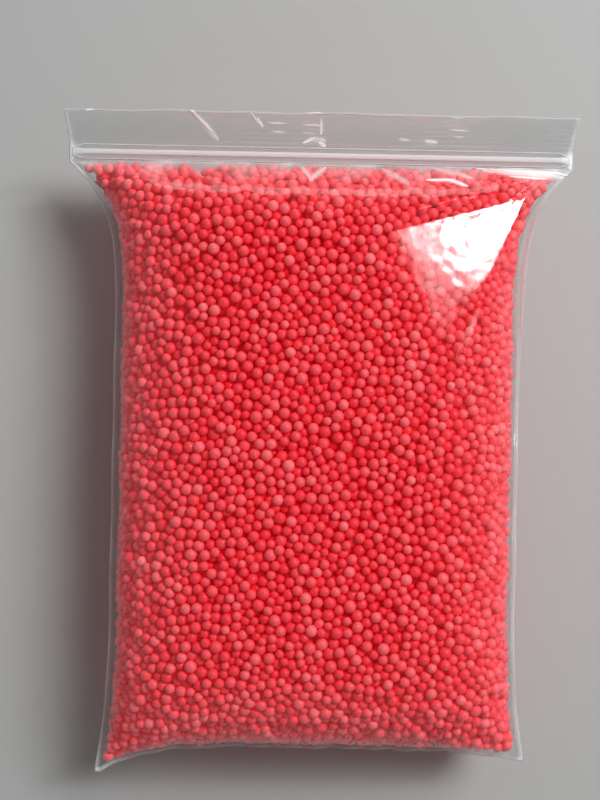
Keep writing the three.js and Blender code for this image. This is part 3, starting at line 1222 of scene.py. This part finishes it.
@dataclass(frozen=True)
class Ripple:
    """A wave across the film, which a slower wave may swell and still.

    Attributes:
        height: Greatest height.
        turn: Angle that the wave turns through from the middle to a weld, in radians.
        phase: Angle at the middle.
        beat: Angle that the slower wave turns through from the middle to a weld.
        beat_phase: Angle of the slower wave at the middle.
    """

    height: float
    turn: float
    phase: float
    beat: float = 0.0
    beat_phase: float = 0.0

    def at(self, across: Array) -> Array:
        """Height of the wave: a sine times the slower wave's cosine."""
        swell = np.cos(self.beat * across + self.beat_phase)
        return self.height * np.sin(self.turn * across + self.phase) * swell


@dataclass
class FilmBag:
    """The film: front and back panels, side welds, bottom fold and the two lips.

    Attributes:
        form: Form of the bag.
        finish: Finish of the film.
        wall: Thickness of the sheet.
        columns: Columns between the welds.
        weld_columns: Columns of a weld.
        panel_rows: Rows of a panel.
        zip_rows: Rows over the zip.
        lip_rows: Rows of a lip.
        crease_rows: Rows of the bottom fold's flat strip.
        ply: Half the gap between the two panels where they close.
        zip_swell: Swell of the film over the zip's rib.
        zip_spread: Half-width of that swell.
        zip_end_power: Power by which the swell ends at the welds.
        fold_crimp: Wave of the bottom fold's edge in plan.
        fold_wave: Wave of that edge in height.
        lip_sway: Wave of both lips together.
        lip_ripple: Further wave of the front lip.
        lip_edge: Wave of the lips' edge in plan.
        back_ripple: Share of the front lip's wave that the back lip follows.
        folds_from: Share of the bulge from which the small folds stand at full height.
        mouth_from: Y at which the panel's zone ends and the neck's starts.
        lip_split: X at which the left lip's zone ends.
        fill: Share of the bag's room that is filled. Not used.
        milk: Whiteness of plain film.
        weld_milk: Further whiteness of the welds.
        weld_gain: Slope at which that whiteness starts across a weld.
        crease_milk: Further whiteness of the bottom fold.
        edge_milk: Further whiteness of cut edges.
        end_milk: Further whiteness of the zip's melted ends.
        end_reach: Distance over which that whiteness dies away.
        neck_painted_sheen: Painted reflection: whiteness in patches on the front film just under the
            zip.
        neck_gathers: Small folds under the zip.
        left_gathers: Small folds along the left weld.
        right_gathers: Small folds along the right weld.
        fold_gathers: Small folds along the bottom fold.
        lines: Creases of the mouth, whitened partly as painted glints.
    """

    form: BagForm
    finish: FilmFinish = field(default_factory=FilmFinish)
    wall: float = 0.1 * MM
    columns: int = 112
    weld_columns: int = 3
    panel_rows: int = 150
    zip_rows: int = 10
    lip_rows: int = 16
    crease_rows: int = 3
    ply: float = 0.12 * MM
    zip_swell: float = 0.8 * MM
    zip_spread: float = 1.3 * MM
    zip_end_power: float = 24.0
    fold_crimp: Ripple = Ripple(0.25 * MM, 31.0, 0.8, 17.0, -0.5 * math.pi)
    fold_wave: Ripple = Ripple(0.5 * MM, 43.0, 1.3)
    lip_sway: Ripple = Ripple(0.5 * MM, 9.0, 0.6, 4.0)
    lip_ripple: Ripple = Ripple(0.25 * MM, 23.0, 2.0)
    lip_edge: Ripple = Ripple(0.25 * MM, 14.0, 0.4, 5.0)
    back_ripple: float = 0.5
    folds_from: float = 0.12
    mouth_from: float = 68 * MM
    lip_split: float = -8 * MM
    fill: float = 0.9
    milk: float = 0.001
    weld_milk: float = 0.16
    weld_gain: float = 2.0
    crease_milk: float = 0.2
    edge_milk: float = 0.35
    end_milk: float = 0.7
    end_reach: float = 3.0 * MM
    neck_painted_sheen: Gathers = Gathers(30, 0.3, 3.2 * MM, 9 * MM, 0.9, 31)
    neck_gathers: Gathers = Gathers(19, 1.3 * MM, 1.7 * MM, 21 * MM, 0.5, 21)
    left_gathers: Gathers = Gathers(24, 0.8 * MM, 1.5 * MM, 13 * MM, 0.6, 22)
    right_gathers: Gathers = Gathers(20, 0.7 * MM, 1.5 * MM, 12 * MM, 0.6, 23)
    fold_gathers: Gathers = Gathers(16, 1.0 * MM, 1.6 * MM, 14 * MM, 0.5, 24)
    # Creases whitened by handling, partly as painted glints of mirrored light.
    lines: tuple[FilmLine, ...] = (
        FilmLine((-36.2 * MM, 90.8 * MM), (-29.6 * MM, 84.8 * MM), 0.9 * MM, 0.95),
        FilmLine((-33.0 * MM, 88.2 * MM), (-28.0 * MM, 82.6 * MM), 1.5 * MM, 0.45),
        FilmLine((-19.2 * MM, 89.7 * MM), (-17.0 * MM, 86.9 * MM), 0.6 * MM, 0.85),
        FilmLine((-17.6 * MM, 88.4 * MM), (-16.0 * MM, 86.2 * MM), 0.8 * MM, 0.95),
        FilmLine((-15.2 * MM, 90.2 * MM), (-9.8 * MM, 90.0 * MM), 0.45 * MM, 0.7),
        FilmLine((-14.8 * MM, 87.3 * MM), (-9.6 * MM, 87.2 * MM), 0.55 * MM, 0.85),
        FilmLine((-13.6 * MM, 85.2 * MM), (-9.6 * MM, 85.1 * MM), 0.5 * MM, 0.5),
        FilmLine((-5.4 * MM, 90.0 * MM), (0.2 * MM, 89.8 * MM), 0.45 * MM, 0.7),
        FilmLine((-5.4 * MM, 86.9 * MM), (0.2 * MM, 86.8 * MM), 0.55 * MM, 0.8),
        FilmLine((-0.3 * MM, 88.6 * MM), (-0.2 * MM, 84.4 * MM), 0.9 * MM, 0.9),
        FilmLine((-5.0 * MM, 84.9 * MM), (-2.0 * MM, 84.9 * MM), 0.45 * MM, 0.5),
        FilmLine((-5.2 * MM, 82.3 * MM), (-1.6 * MM, 83.9 * MM), 0.8 * MM, 0.85),
        FilmLine((-3.4 * MM, 83.6 * MM), (1.4 * MM, 83.1 * MM), 1.2 * MM, 0.55),
        FilmLine((-0.8 * MM, 82.7 * MM), (1.2 * MM, 81.6 * MM), 1.1 * MM, 0.85),
        FilmLine((34.4 * MM, 86.4 * MM), (40.2 * MM, 86.3 * MM), 0.45 * MM, 0.8),
        FilmLine((35.0 * MM, 89.3 * MM), (38.2 * MM, 89.2 * MM), 0.4 * MM, 0.65),
        FilmLine((35.8 * MM, 84.8 * MM), (38.8 * MM, 84.7 * MM), 0.45 * MM, 0.5),
        FilmLine((28.0 * MM, 83.6 * MM), (31.6 * MM, 83.2 * MM), 1.0 * MM, 0.65),
        FilmLine((21.0 * MM, 84.0 * MM), (24.0 * MM, 83.6 * MM), 0.8 * MM, 0.4),
        FilmLine((-64.0 * MM, 89.5 * MM), (-61.6 * MM, 90.1 * MM), 0.8 * MM, 0.85),
        FilmLine((41.0 * MM, 75.7 * MM), (56.0 * MM, 75.0 * MM), 0.6 * MM, 0.8),
        FilmLine((50.0 * MM, 75.2 * MM), (68.0 * MM, 74.8 * MM), 0.8 * MM, 0.95),
        FilmLine((43.0 * MM, 74.8 * MM), (66.0 * MM, 74.0 * MM), 2.0 * MM, 0.55),
        FilmLine((50.0 * MM, 73.2 * MM), (61.0 * MM, 73.0 * MM), 0.6 * MM, 0.8),
        FilmLine((-5.4 * MM, 75.0 * MM), (-2.2 * MM, 69.6 * MM), 1.3 * MM, 0.4),
        FilmLine((1.4 * MM, 74.8 * MM), (-3.2 * MM, 69.8 * MM), 1.6 * MM, 0.5),
        FilmLine((27.4 * MM, 70.9 * MM), (35.4 * MM, 71.3 * MM), 0.8 * MM, 0.85),
        FilmLine((32.4 * MM, 71.5 * MM), (38.6 * MM, 69.4 * MM), 1.0 * MM, 0.8),
        FilmLine((16.0 * MM, 74.6 * MM), (23.0 * MM, 69.6 * MM), 2.0 * MM, 0.35),
        FilmLine((30.0 * MM, 75.2 * MM), (40.0 * MM, 72.0 * MM), 1.8 * MM, 0.35),
    )

    def across(self) -> tuple[Array, Array]:
        """Columns of the sheet.

        Returns:
            Across from -1 to 1, closer together at the welds, and the share of the weld beyond.
        """
        inner = np.sin(0.5 * math.pi * np.linspace(-1.0, 1.0, self.columns))
        weld = np.arange(1, self.weld_columns + 1) / self.weld_columns
        ones = np.ones(self.weld_columns)
        zeros = np.zeros(self.columns)
        return np.concatenate((-ones, inner, ones)), np.concatenate((weld[::-1], zeros, weld))

    def panel(self, s: Array, weld: Array) -> tuple[Array, Array, Array, Array]:
        """Panels from the bottom crease to the neck.

        The front is the middle surface plus the rise times the bulge and the small folds, under
        any flat; the back is the middle surface less the fall times the bulge, above the floor.

        Args:
            s: Across of each column.
            weld: Share of the weld of each column.

        Returns:
            X, y, and the front and back heights, as grids.
        """
        form = self.form
        along = 0.5 - 0.5 * np.cos(math.pi * np.linspace(0.0, 1.0, self.panel_rows))
        s, v = np.meshgrid(s, along)
        x, y, z = form.middle(s, v)
        x = x + np.sign(s) * form.weld * weld
        bulge = form.bulge(s, v)
        inner = self.ply * (1.0 - weld)
        half = form.half_width(v) - form.weld
        aside = (1.0 - np.abs(s)) * half
        folds = self.neck_gathers.height(x + half[-1, 0], form.from_zip(v), 2.0 * half[-1, 0])
        folds += self.fold_gathers.height(x + half[0, 0], form.from_fold(v), 2.0 * half[0, 0])
        rows = form.from_fold(v)
        left = self.left_gathers.height(rows, aside, form.panel_length) * (s < 0.0)
        right = self.right_gathers.height(rows, aside, form.panel_length) * (s > 0.0)
        folds += left + right
        folds *= np.clip(bulge / self.folds_from, 0.0, 1.0)
        front = z + inner + form.rise * bulge + folds
        for facet in form.facets:
            front = facet.pull(x, y, front)
        back = np.maximum(z - inner - form.fall(v) * bulge - folds * (z > 0.0), 0.0)
        return x, y, front, back

    def crease(self, s: Array, weld: Array, first: tuple) -> tuple[Array, Array, Array, Array]:
        """Flat strip of the bottom fold, crimped along its edge.

        Each row steps out from the panels by its share of the flat and the crimp, and waves
        up and down by the same share.

        Args:
            s: Across of each column.
            weld: Share of the weld of each column.
            first: First row of the panels: x, y, front and back.

        Returns:
            X, y, and the front and back heights, as grids from the fold's edge inwards.
        """
        out = np.linspace(1.0, 0.0, self.crease_rows, endpoint=False)[:, None]
        x, y, front, back = first
        middle = 0.5 * (front + back) + self.fold_wave.at(s) * out
        ply = self.ply * (1.0 - out) * (1.0 - weld)
        ys = y - (self.form.fold_flat + self.fold_crimp.at(s)) * out
        return np.broadcast_to(x, ys.shape), ys, middle + ply, middle - ply

    def mouth(self, s: Array, weld: Array) -> tuple[Array, Array, Array, Array]:
        """Strip over the zip and the two lips above it.

        The strip swells over the zip's rib by a bell; the lips rise by the square of the way up
        and gape by the way up times one less the square of across.

        Args:
            s: Across of each column.
            weld: Share of the weld of each column.

        Returns:
            X, y, and the front and back heights, as grids.
        """
        form = self.form
        low, high = form.zip_y - form.neck, form.zip_y + form.neck
        zip_y = np.linspace(low, high, self.zip_rows + 1)[1:]
        lip_y = np.linspace(high, form.top, self.lip_rows + 1)[1:]
        y = np.concatenate((zip_y, lip_y))[:, None]
        up = np.clip((y - high) / (form.top - high), 0.0, 1.0)
        half = 0.5 * blend(form.zip_width, form.lip_width, up) - form.weld
        x = half * s + np.sign(s) * form.weld * weld
        swell = self.zip_swell * np.exp(-(((y - form.zip_y) / self.zip_spread) ** 2))
        swell = swell * (1.0 - np.abs(s) ** self.zip_end_power)
        free = up * (1.0 - s * s)
        gape = form.film + 0.5 * form.lip_gape * free
        ripple = self.lip_ripple.at(s) * free
        edge = form.zip_height + form.lip_rise * up**2 + self.lip_sway.at(s) * free
        ply = self.ply * (1.0 - weld)
        open_share = (weld == 0.0) * 1.0
        front = edge + ply + (swell + gape + ripple) * open_share
        back = edge - ply - (swell + gape - self.back_ripple * ripple) * open_share
        return x, y + self.lip_edge.at(s) * up, front, back

    def build(self) -> bpy.types.Object:
        """Builds the film as one sheet with a wall: lip, panel, fold, panel and lip."""
        s, weld = self.across()
        panel = self.panel(s, weld)
        strips = (
            self.crease(s, weld, tuple(part[0] for part in panel)),
            panel,
            self.mouth(s, weld),
        )
        x, y, front, back = (np.vstack(parts) for parts in zip(*strips))
        numbers = np.arange(x.size).reshape(x.shape)
        under = numbers + x.size
        under[0], under[:, 0], under[:, -1] = numbers[0], numbers[:, 0], numbers[:, -1]
        vertices = np.vstack(
            [np.stack((x, y, level), axis=-1).reshape(-1, 3) for level in (front, back)]
        )
        faces = np.vstack((grid_faces(numbers), grid_faces(under)[:, ::-1]))
        used, faces = np.unique(faces, return_inverse=True)
        faces = faces.reshape(-1, 4)
        film = put_mesh("film_bag", vertices[used], faces)
        centres = vertices[used][faces].mean(axis=1)
        zones = self.zones(centres[:, 0], centres[:, 1])
        film.data.polygons.foreach_set("material_index", zones.astype(np.int32))
        values = self.values(x, y, weld)
        for name, (over, below) in values.items():
            put_values(film, name, np.concatenate((over.ravel(), below.ravel()))[used])
        wall = film.modifiers.new("wall", "SOLIDIFY")
        wall.thickness = self.wall
        wall.offset = -1.0
        wall.material_offset = FilmZone.INNER.value
        return film

    def zones(self, x: Array, y: Array) -> Array:
        """Number of the film's zone at each place."""
        lip = np.where(x < self.lip_split, FilmZone.LEFT_LIP.value, FilmZone.RIGHT_LIP.value)
        mouth = np.where(y > self.form.zip_y, lip, FilmZone.NECK.value)
        return np.where(y > self.mouth_from, mouth, FilmZone.PANEL.value)

    def values(self, x: Array, y: Array, weld: Array) -> dict[str, tuple[Array, Array]]:
        """Values that the film's finish reads, for the front and the back grid.

        Args:
            x: X of the grid.
            y: Y of the grid.
            weld: Share of the weld of each column.

        Returns:
            Whiteness with painted reflection on the front under the zip, and the front and lip
            masks.
        """
        form = self.form
        rows = np.arange(len(x))[:, None]
        lip_start = len(x) - self.lip_rows
        welded = np.minimum(weld * self.weld_gain, 1.0)
        milk = np.full_like(x, self.milk) + self.weld_milk * welded
        milk += self.crease_milk * (rows < self.crease_rows)
        milk += self.edge_milk * ((rows == len(x) - 1) | (np.broadcast_to(weld, x.shape) == 1.0))
        down = form.zip_y - form.neck - y
        # Painted reflection: patches of whiteness on the front film under the zip, in place of light
        # that its gathers mirror.
        painted_sheen = self.neck_painted_sheen.height(x + 0.5 * form.zip_width, np.abs(down), form.zip_width)
        painted_sheen = np.where(down > 0.0, painted_sheen, 0.0)
        end = near(np.abs(np.abs(x) - 0.5 * form.zip_width), self.end_reach)
        milk += self.end_milk * end * near(np.abs(y - form.zip_y), self.end_reach)
        lip = (rows >= lip_start) * np.ones_like(x)
        ones, zeros = np.ones_like(x), np.zeros_like(x)
        return {
            "milk": (milk + painted_sheen, milk),
            "front": (ones, zeros),
            "lip": (lip, lip),
        }

    def dress(self, film: bpy.types.Object) -> None:
        """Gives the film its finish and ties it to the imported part."""
        materials = {
            FilmZone.PANEL: self.finish.panel_material(),
            FilmZone.INNER: self.finish.inner_material(),
        }
        for zone in (FilmZone.NECK, FilmZone.LEFT_LIP, FilmZone.RIGHT_LIP):
            lines = [line for line in self.lines if self.zones(*line.start) == zone.value]
            materials[zone] = self.finish.mouth_material(f"{zone.name.lower()}_film", lines)
        for zone in FilmZone:
            film.data.materials.append(materials[zone])
        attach(film, "root")
        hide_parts(Node.FILM.value)
        film.visible_shadow = False
        film.visible_diffuse = False


@dataclass
class ZipStrip:
    """The closed zip: its locked rib and channel between two finger guides.

    Attributes:
        form: Form of the bag.
        finish: Finish of the zip.
        band: Half-width and half-height of the locked band.
        guide: Half-width and half-height of a finger guide.
        guide_spacing: Distance of a guide from the zip's middle line.
        end_gap: Gap between the bars' ends and the bag's edge.
        crush: Length over which the bars are melted flat at their ends.
        crush_in: Share by which the guides draw in to the middle there.
        crush_spread: Share by which a bar widens there.
        crush_flat: Share by which a bar flattens there.
        cap_length: Length of a bar's rounded tip.
        cap_least: Least share along the tip, which keeps its end open.
        cap_power: Power of the tip's rounding.
        stations: Sections along a bar.
        points: Points round a section.
        squareness: Power that squares the oval section.
    """

    form: BagForm
    finish: ZipFinish = field(default_factory=ZipFinish)
    band: tuple[float, float] = (0.8 * MM, 1.12 * MM)
    guide: tuple[float, float] = (0.17 * MM, 0.98 * MM)
    guide_spacing: float = 1.95 * MM
    end_gap: float = 0.7 * MM
    crush: float = 3.5 * MM
    crush_in: float = 0.5
    crush_spread: float = 0.5
    crush_flat: float = 0.55
    cap_length: float = 0.2 * MM
    cap_least: float = 0.02
    cap_power: float = 0.5
    stations: int = 140
    points: int = 16
    squareness: float = 0.55

    def bar(self, offset: float, half: tuple[float, float]) -> tuple[Array, Array]:
        """One bar: a squared oval carried along the zip, flattened and spread at its ends.

        Args:
            offset: Distance of the bar from the zip's middle line.
            half: Half-width and half-height of the bar.

        Returns:
            Places as rows, and four-cornered faces.
        """
        reach = 0.5 * self.form.zip_width - self.end_gap
        x = reach * np.sin(0.5 * math.pi * np.linspace(-1.0, 1.0, self.stations))[:, None]
        crushed = ease(near(reach - np.abs(x), self.crush))
        turn = np.linspace(0.0, 2.0 * math.pi, self.points, endpoint=False)[None]
        wide = np.sign(np.cos(turn)) * np.abs(np.cos(turn)) ** self.squareness
        tall = np.sign(np.sin(turn)) * np.abs(np.sin(turn)) ** self.squareness
        cap = np.clip((reach - np.abs(x)) / self.cap_length, self.cap_least, 1.0)
        cap = cap**self.cap_power
        y = self.form.zip_y + offset * (1.0 - self.crush_in * crushed)
        y = y + half[0] * wide * (1.0 + self.crush_spread * crushed) * cap
        z = self.form.zip_height + half[1] * tall * (1.0 - self.crush_flat * crushed) * cap
        x = np.broadcast_to(x, y.shape)
        numbers = np.arange(x.size).reshape(x.shape)
        ring = np.column_stack((numbers, numbers[:, 0]))
        caps = np.stack((numbers[0, ::-1], numbers[-1]))
        near_side = np.arange(self.points // 2 - 1)
        far_side = self.points - 1 - near_side
        corners = (near_side, near_side + 1, far_side - 1, far_side)
        ends = np.stack([caps[:, corner] for corner in corners], axis=-1).reshape(-1, 4)
        faces = np.vstack((grid_faces(ring), ends))
        return np.stack((x, y, z), axis=-1).reshape(-1, 3), faces

    def build(self) -> bpy.types.Object:
        """Builds the locked band and the two guides as one piece."""
        bars = (
            self.bar(0.0, self.band),
            self.bar(self.guide_spacing, self.guide),
            self.bar(-self.guide_spacing, self.guide),
        )
        starts = np.cumsum([0] + [len(vertices) for vertices, _ in bars[:-1]])
        vertices = np.vstack([vertices for vertices, _ in bars])
        faces = np.vstack([faces + start for (_, faces), start in zip(bars, starts)])
        return put_mesh("zip_strip", vertices, faces)

    def dress(self, strip: bpy.types.Object) -> None:
        """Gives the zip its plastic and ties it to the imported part."""
        strip.data.materials.append(self.finish.material())
        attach(strip, "root")
        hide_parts(Node.FILM.value)


@dataclass(frozen=True)
class SoftLight:
    """A square soft light that shines at the bag.

    Attributes:
        name: Name of the light.
        lean: Angle between the light and straight up over the bag, in degrees.
        azimuth: Direction of the light from +X towards +Y, in degrees.
        distance: Distance from the bag.
        size: Width and height.
        roll: Turn of the light about its own beam, in degrees.
        power: Power in watts.
        mirrored: Whether the film mirrors the light.
    """

    name: str
    lean: float
    azimuth: float
    distance: float
    size: tuple[float, float]
    roll: float
    power: float
    mirrored: bool

    def build(self, target: Vector) -> bpy.types.Object:
        """Places the light, facing the target."""
        data = bpy.data.lights.new(self.name, "AREA")
        data.shape = "RECTANGLE"
        data.size, data.size_y = self.size
        data.energy = self.power
        lamp = bpy.data.objects.new(self.name, data)
        lean, turn = math.radians(self.lean), math.radians(self.azimuth)
        way = Vector(
            (math.sin(lean) * math.cos(turn), math.sin(lean) * math.sin(turn), math.cos(lean))
        )
        lamp.location = target + way * self.distance
        lamp.rotation_mode = "QUATERNION"
        turned = Quaternion((0.0, 0.0, 1.0), math.radians(self.roll))
        lamp.rotation_quaternion = way.to_track_quat("Z", "Y") @ turned
        lamp.visible_camera = False
        lamp.visible_glossy = self.mirrored
        bpy.context.scene.collection.objects.link(lamp)
        return lamp


@dataclass
class Studio:
    """Pale table top, soft light and the camera straight above the bag.

    Attributes:
        table_size: Width and depth of the table top.
        table_tone: Colour of the table top.
        table_roughness: Roughness of the table top.
        table_drop: Gap between the table top and the bag.
        room_tone: Colour of the light all round.
        overhead_light: Strength of that light from above.
        horizon_light: Strength of that light from the sides.
        backdrop: Colour that the camera sees beyond the table.
        lens: Focal length in millimetres.
        camera_height: Height of the camera above the table.
        camera_at: X and y of the camera.
        camera_roll: Turn of the camera about its line of sight, in degrees.
        clip_start: Nearest distance that the camera shows.
        bounces: Most bounces of light.
        diffuse_bounces: Most bounces off matt surfaces.
        glossy_bounces: Most bounces off glossy surfaces.
        clear_bounces: Most clear surfaces that light passes.
        lights: The soft lights.
    """

    table_size: float = 2.0
    table_tone: tuple[float, float, float, float] = (0.44, 0.45, 0.445, 1.0)
    table_roughness: float = 0.7
    table_drop: float = 0.1 * MM
    room_tone: tuple[float, float, float, float] = (1.0, 1.0, 1.0, 1.0)
    overhead_light: float = 0.01
    horizon_light: float = 0.4
    backdrop: tuple[float, float, float, float] = (0.72, 0.725, 0.73, 1.0)
    lens: float = 74.4
    camera_height: float = 473 * MM
    camera_at: tuple[float, float] = (-4.4 * MM, 12.5 * MM)
    camera_roll: float = 1.15
    clip_start: float = 10 * MM
    bounces: int = 8
    diffuse_bounces: int = 4
    glossy_bounces: int = 2
    clear_bounces: int = 32
    lights: tuple[SoftLight, ...] = (
        SoftLight("window", 45.6, 29.8, 0.9, (0.159, 0.029), 75.4, 0.6, True),
        SoftLight("window_foot", 45.7, 27.4, 0.9, (0.145, 0.023), 77.4, 0.35, True),
        SoftLight("window_sill", 45.5, 24.8, 0.9, (0.14, 0.035), 79.5, 0.08, True),
        SoftLight("bright_wall", 39.0, 32.0, 0.9, (0.11, 0.035), 74.9, 0.072, True),
        SoftLight("wall", 38.4, 27.9, 0.9, (0.11, 0.047), 78.2, 0.049, True),
        SoftLight("dim_wall", 37.8, 22.4, 0.9, (0.111, 0.062), 82.7, 0.03, True),
        SoftLight("far_wall", 81.0, 86.0, 1.0, (1.2, 0.26), 0.0, 1.8, True),
        SoftLight("sky", 40.0, 40.0, 1.0, (0.45, 0.4), 0.0, 8.2, False),
        SoftLight("ceiling", 0.0, 0.0, 2.0, (3.0, 3.0), 0.0, 5.0, False),
    )

    def build_table(self) -> bpy.types.Object:
        """Builds the pale table top just under the bag."""
        half = 0.5 * self.table_size
        corners = np.array(((-half, -half), (half, -half), (half, half), (-half, half)))
        places = np.column_stack((corners, np.full(4, -self.table_drop)))
        table = put_mesh("table_top", places, np.arange(4)[None])
        material, board = new_material("table_paint")
        paint = board.add(
            "ShaderNodeBsdfPrincipled",
            {"Base Color": self.table_tone, "Roughness": self.table_roughness},
        )
        board.add("ShaderNodeOutputMaterial", {"Surface": paint.outputs[0]})
        table.data.materials.append(material)
        return table

    def build_world(self) -> None:
        """Sets grey light all round, dim overhead, and shows a paler backdrop."""
        world = bpy.data.worlds.new("soft_room")
        world.use_nodes = True
        bpy.context.scene.world = world
        board = NodeBoard(world.node_tree)
        seen = board.add("ShaderNodeLightPath").outputs["Is Camera Ray"]
        way = board.add("ShaderNodeTexCoord").outputs["Generated"]
        up = board.add("ShaderNodeSeparateXYZ", {0: way}).outputs["Z"]
        level = board.add(
            "ShaderNodeMapRange",
            {"Value": up, "To Min": self.horizon_light, "To Max": self.overhead_light},
        )
        light = board.add(
            "ShaderNodeBackground", {"Color": self.room_tone, "Strength": level.outputs[0]}
        )
        shown = board.add("ShaderNodeBackground", {"Color": self.backdrop})
        both = board.add("ShaderNodeMixShader", {0: seen, 1: light.outputs[0], 2: shown.outputs[0]})
        board.add("ShaderNodeOutputWorld", {"Surface": both.outputs[0]})

    def build_camera(self) -> None:
        """Sets the camera straight above the bag, turned a little as the photograph is."""
        data = bpy.data.cameras.new("camera")
        data.lens = self.lens
        data.clip_start = self.clip_start
        camera = bpy.data.objects.new("camera", data)
        camera.location = (*self.camera_at, self.camera_height)
        camera.rotation_euler = (0.0, 0.0, math.radians(self.camera_roll))
        bpy.context.scene.collection.objects.link(camera)
        bpy.context.scene.camera = camera

    def build(self, target: Vector) -> None:
        """Builds table, world, lights and camera."""
        self.build_table()
        self.build_world()
        for light in self.lights:
            light.build(target)
        self.build_camera()
        scene = bpy.context.scene
        scene.view_settings.view_transform = "Standard"
        scene.cycles.max_bounces = self.bounces
        scene.cycles.diffuse_bounces = self.diffuse_bounces
        scene.cycles.glossy_bounces = self.glossy_bounces
        scene.cycles.transparent_max_bounces = self.clear_bounces


def main() -> None:
    """Builds the bag's sub-assemblies in order and reports each piece."""
    logging.basicConfig(level=logging.INFO, format="%(message)s")
    low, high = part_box(Node.FILM.value)
    shoulder = Facet(
        corners=(
            (55.0 * MM, 68.2 * MM, 35.4 * MM),
            (14.0 * MM, 56.3 * MM, 47.6 * MM),
            (40.2 * MM, 33.7 * MM, 43.1 * MM),
        )
    )
    form = BagForm(
        thickness=high[2] - low[2],
        top=high[1],
        lip_width=high[0] - low[0],
        facets=(shoulder,),
    )
    beads = BeadFill(form)
    film = FilmBag(form)
    strip = ZipStrip(form)
    for assembly in (beads, film, strip):
        made = assembly.build()
        assembly.dress(made)
        for piece in made if isinstance(made, list) else [made]:
            LOG.info("%s: %d faces", piece.name, len(piece.data.polygons))
    Studio().build(Vector((0.0, 0.0, 0.5 * form.thickness)))


if __name__ == "__main__":
    main()
